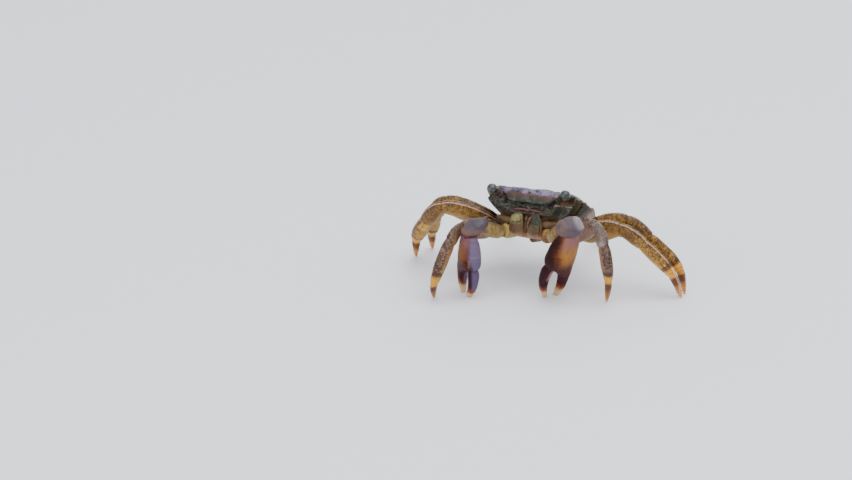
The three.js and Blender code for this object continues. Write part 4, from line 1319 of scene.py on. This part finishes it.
def hand_grid(rows, claw, count, sides, neck):
    """Rings of the palm or finger; the neck runs on into the wrist."""
    base, end, _, up, side = claw_axes(claw)
    table = np.array(rows)
    table = np.concatenate(([table[0] * (1, 0.85, 0.9, 0.9) - (neck, 0, 0, 0)], table))
    at = np.linspace(table[0, 0], table[-1, 0], count)
    offset, tall, thick = eased(table[:, 0], table[:, 1:], at).T
    length = np.linalg.norm(end - base)
    near = rounded_ends((at - at[0]) / (at[-1] - at[0]), length * (at[-1] - at[0]), 0.7, 0, 2.4)
    centres = base + (end - base) * at[:, None] + up * offset[:, None]
    grid, marks = ring_grid(centres, up, side, tall * near, tall * near, thick * near, sides,
                            0.95)
    marks["share"] = at[:, None] * np.ones(sides)
    marks["lay"] = np.stack((marks["share"] * length, marks["height"] * tall[:, None],
                             marks["facing"] * thick[:, None]), -1)
    return grid, marks


def cutting_teeth(share, size):
    """Blunt teeth along a finger's cutting edge."""
    start, end = CUTTING_EDGE
    t = (share - start) / (end - start)
    inside = step(t, 0, 0.05) * step(t, 1, 0.92)
    return inside * size * np.abs(np.sin(t * math.pi * CUTTING_TEETH)) ** 0.7


def make_claw(which, claw, paints):
    """Palm with its fixed finger, moving finger, wrist and arm."""
    right = which == "right"
    grid, marks = hand_grid(PALM, claw, **PALM_MESH)
    share, height, facing = marks["share"], marks["height"], marks["facing"]
    relief = step(height, 0.84, 1.0) * cutting_teeth(share, 0.26)
    relief += 0.05 * ripple(grid, 5.0)
    keel = bump(height + 0.55, 0.1) * step(share, 0.3, 0.55)
    relief += 0.12 * keel * step(share, 0.98, 0.9)
    grid = pushed(grid, relief * step(share, 0.995, 0.96))
    grid[-1, :, 2] = 0
    lilac, streak = 0.0, 0.0
    if right:
        lilac = step(-facing - 0.35 * step(share, 0.22, 0.46), -0.95, -0.55)
        streak = bump(facing - 0.7, 0.07) * step(height, 0, 0.3)
        streak *= step(share, 0.22, 0.3) * step(share, 0.44, 0.36)
    shape = Shape()
    # The right palm carries the painted shade mark, which darkens it all over.
    shape.loft(grid, lilac=lilac, streak=streak, dim=1.0 if right else 0.0, **marks)
    shape.piece(which + "_palm", paints["claw"], "claw", which + "_claw_palm")
    grid, marks = hand_grid(FINGER, claw, **FINGER_MESH)
    share, height, facing = marks["share"], marks["height"], marks["facing"]
    relief = (step(-height, 0.84, 1.0) * cutting_teeth(share, 0.25)
              + 0.03 * ripple(grid, 4.0))
    grid = pushed(grid, relief * step(share, 0.995, 0.96))
    grid[-1, :, 2] = 0
    shape = Shape()
    shape.loft(grid, lilac=step(-facing, -0.9, -0.4) if right else 0.0, **marks)
    shape.piece(which + "_moving_finger", paints["finger"], "claw_finger", which + "_claw_finger")
    make_wrist(which, claw, paints["wrist"])
    make_arm(which, claw, paints["arm"], paints["joint"])


WRIST_SLIMMER = 0.93  # the wrist is a little slimmer than its solid
WRIST_ROUNDNESS = 0.52  # 1 would round its ends like a ball, and 0 would leave them square


def make_wrist(which, claw, paint):
    """Rounded block between arm and hand, with a spine on its inner side."""
    centre = vec(*claw["wrist"])
    arm = unit(centre - vec(*claw["shoulder"]))
    hand = unit(vec(*claw["tip"]) - centre)
    half_width, half_height, half_depth = claw["wrist_size"]
    half_height *= WRIST_SLIMMER
    across = unit(vec(*claw["wrist_axis"]) if claw["wrist_axis"] else np.cross(arm, hand))
    front = unit(arm - hand - across * ((arm - hand) @ across))
    depth = np.cross(across, front)
    turn = np.radians(np.linspace(-89.9, 89.9, 130))
    size = np.cos(turn) ** WRIST_ROUNDNESS * (1 + 0.07 * np.sin(2.2 * turn + 0.6))
    if which == "right":
        size *= 1 - 0.3 * step(turn, 0.0, 1.2)
    centres = centre + across * (np.sin(turn) * half_width)[:, None]
    grid, _ = ring_grid(centres, front, depth, half_height * size, half_depth * 0.9 * size,
                        half_depth * size, 72, 0.78)
    inward = unit(vec(*claw["across"]))
    away = unit(vec(-inward[0], 0, 0.6))
    grid = pushed(grid, 0.2 * ripple(grid, 3.4) + 0.06 * ripple(grid, 1.3, 0.4))
    place = grid - centre
    toward = place @ hand
    crease = step(toward, 0.7, 1.7)
    # rim marks a painted highlight: on the left wrist its upper outer side, on the right wrist the
    # side away from the hand.
    if which == "left":
        rim = 0.8 * step(place @ away, 1.2, 5.4)
        inner = 0.7 * step(place @ inward, 0.2, 5.0)
    else:
        rim = 0.3 * step(toward, -1.8, -3.4)
        inner = 0.9 * step(toward, -1.4, 0.4)
    lay = np.stack((toward, place @ front, place @ across), -1)
    shape = Shape()
    shape.loft(grid, lay=lay, rim=rim * (1 - crease), crease=crease, inner=inner)
    if which == "left":
        base = centre + inward * half_width * 0.75 - hand * 0.8
        tip = base + inward * 1.5 - hand * 2.0
    else:
        base = centre + across * 1.6 - hand * 0.4
        tip = centre + across * 5.2 - hand * 1.9
    shape.spike(base, tip, 1.15 if which == "left" else 1.9, 20, 16, 0.14,
                lay=np.zeros((1, 1, 3)), rim=0.2, crease=0.0, inner=0.4)
    shape.piece(which + "_wrist", paint, "claw", which + "_claw_wrist")


def make_arm(which, claw, paint, joint_paint):
    """Arm from the body to the wrist, and the skins at the claw's three joints."""
    a = vec(*claw["shoulder"])
    wrist = vec(*claw["wrist"])
    axis = unit(wrist - a)
    b = wrist - axis * (WRIST_REACH + GAP)
    side = unit(np.cross(vec(0, 0, 1), axis))
    up = np.cross(axis, side)
    t = np.linspace(0, 1, 70)
    table = np.array(ARM)
    above, below, wide = eased(table[:, 0], table[:, 1:], t).T
    length = np.linalg.norm(b - a)
    ends = rounded_ends(t, length, 0.5, 0.5, 1.8)
    grid, marks = ring_grid(a + (b - a) * t[:, None], up, side, above * ends, below * ends,
                            wide * ends, 48, 0.85)
    lay = np.stack((t[:, None] * length * np.ones(48), marks["height"] * 2.5,
                    marks["facing"] * 2.2), -1)
    wave = np.sin(lay[..., 0] * 5.0 + 2 * ripple(grid, 3.0))
    grid = pushed(grid, 0.08 * step(wave, 0.1, 0.9) * step(marks["height"], -0.2, 0.4))
    shape = Shape()
    shape.loft(grid, lay=lay, **marks)
    shape.piece(which + "_arm", paint, "claw", which + "_claw_arm")
    skins = Shape()
    base, _, hand, palm_up, palm_side = claw_axes(claw)
    skins.loft(ball(base - hand * 0.3, (1.3, 2.6, 2.0), (hand, palm_up, palm_side)))
    skins.loft(ball(b + axis * 0.3, (1.2, 1.6, 1.9), (axis, up, side)))
    skins.loft(ball(a - axis * 0.5, (2.0, 2.15, 1.9), (axis, up, side)))
    skins.piece(which + "_claw_joint_skin", joint_paint, "claw")


# ---- put together -------------------------------------------------------------------------
def build_crab():
    shell = shell_paint()
    make_shell(shell)
    under = underside_paint()
    make_breastplate(under)
    make_tail(under)
    mouth = mouth_paint()
    stalk = plain_paint("eye stalk", "2a211f", "3a2f20", "171312", 0.45, 1.2)
    feeler = plain_paint("feeler", "33301f", "4a3d26", "1c1a14", 0.45, 1.5)
    bar = plain_paint("mouth frame", "683832", "4a2a24", "8a5a50", 0.5, 0.9)
    deep = plain_paint("inner mouth", "4c3420", "2c2c20", "6f4a28", 0.45, 0.9)
    rim = plain_paint("orbit teeth", "5f5640", "3f4436", "7a6a48", 0.45, 1.0)
    eye = eye_paint()
    for which, sign in (("left", 1), ("right", -1)):
        make_eye(which, sign, stalk, eye, feeler)
        make_mouth(which, sign, mouth)
    make_face(bar, deep, stalk)
    make_orbit_teeth(rim)
    paints = {
        "leg": leg_paint("walking leg"), "leg_tip": leg_paint("leg tip", True),
        "joint": plain_paint("joint skin", "8a6534", "6f4a28", "54391f", 0.5, 0.8),
        "claw": claw_paint(), "finger": finger_paint(), "wrist": wrist_paint(),
        "arm": arm_paint(),
    }
    hair = plain_paint("bristle", "6b4a2c", "3c2a1c", "a5824c", 0.5, 1.0)
    for name in LEGS:
        make_leg(name, paints, hair)
    for which, claw in CLAWS.items():
        make_claw(which, claw, paints)


# ---- camera, light and floor --------------------------------------------------------------
AZIMUTH, ELEVATION = math.radians(20), math.radians(21.5)  # to the crab's left, above the floor
LENS, SENSOR = 200.0, 36.0
FRAME_PIXELS = (852, 480)
PIXELS_PER_MM = 2.73
CRAB_PIXEL = (540, 275.4)  # where the crab's own origin falls in the frame
LAMPS = [  # place, width and power; each faces the crab
    ("sky", (0.3, -0.2, 1.2), 1.2, 16.0), ("fill", (-0.7, -1.2, 0.5), 0.9, 5.0),
    ("back", (-0.2, 1.3, 0.9), 1.0, 6.0),
]
SKY_COLOUR, FLOOR_COLOUR = (0.86, 0.9, 1.0, 1), (0.89, 0.895, 0.925, 1)
FLOOR_REACH = 12.0


def place_camera():
    """A long lens, set so that the crab has its scale and place in the frame."""
    distance = FRAME_PIXELS[0] / SENSOR * LENS / PIXELS_PER_MM
    back = vec(math.sin(AZIMUTH) * math.cos(ELEVATION), -math.cos(AZIMUTH) * math.cos(ELEVATION),
               math.sin(ELEVATION))
    right = vec(math.cos(AZIMUTH), math.sin(AZIMUTH), 0)
    up = np.cross(back, right)
    along = (CRAB_PIXEL[0] - FRAME_PIXELS[0] / 2) / PIXELS_PER_MM
    above = (FRAME_PIXELS[1] / 2 - CRAB_PIXEL[1]) / PIXELS_PER_MM
    place = back * distance - right * along - up * above - FOOTPRINT
    data = bpy.data.cameras.new("camera")
    data.lens, data.sensor_width = LENS, SENSOR
    data.clip_start, data.clip_end = 0.05, 50
    camera = bpy.data.objects.new("camera", data)
    turn = np.eye(4)
    turn[:3, 0], turn[:3, 1], turn[:3, 2], turn[:3, 3] = right, up, back, place * MM
    bpy.context.collection.objects.link(camera)
    camera.matrix_world = Matrix(turn.tolist())
    bpy.context.scene.camera = camera


def light_scene():
    """Three wide soft lamps and a pale sky."""
    for name, place, size, power in LAMPS:
        light = bpy.data.lights.new(name, "AREA")
        light.energy, light.size = power, size
        lamp = bpy.data.objects.new(name, light)
        lamp.location = place
        lamp.rotation_mode = "QUATERNION"
        lamp.rotation_quaternion = Vector(place).to_track_quat("Z", "Y")
        bpy.context.collection.objects.link(lamp)
    world = bpy.data.worlds.new("studio")
    world.use_nodes = True
    background = world.node_tree.nodes["Background"]
    background.inputs["Color"].default_value = SKY_COLOUR
    background.inputs["Strength"].default_value = 1.0
    bpy.context.scene.world = world


def lay_floor():
    mesh = bpy.data.meshes.new("floor")
    corners = [(x * FLOOR_REACH, y * FLOOR_REACH, 0)
               for x, y in ((-1, -1), (1, -1), (1, 1), (-1, 1))]
    mesh.from_pydata(corners, [], [(0, 1, 2, 3)])
    floor = bpy.data.objects.new("floor", mesh)
    bpy.context.collection.objects.link(floor)
    p = Paint("pale floor", Roughness=0.8)
    p.shader.inputs["Base Color"].default_value = FLOOR_COLOUR
    mesh.materials.append(p.material)


build_crab()
place_camera()
light_scene()
lay_floor()
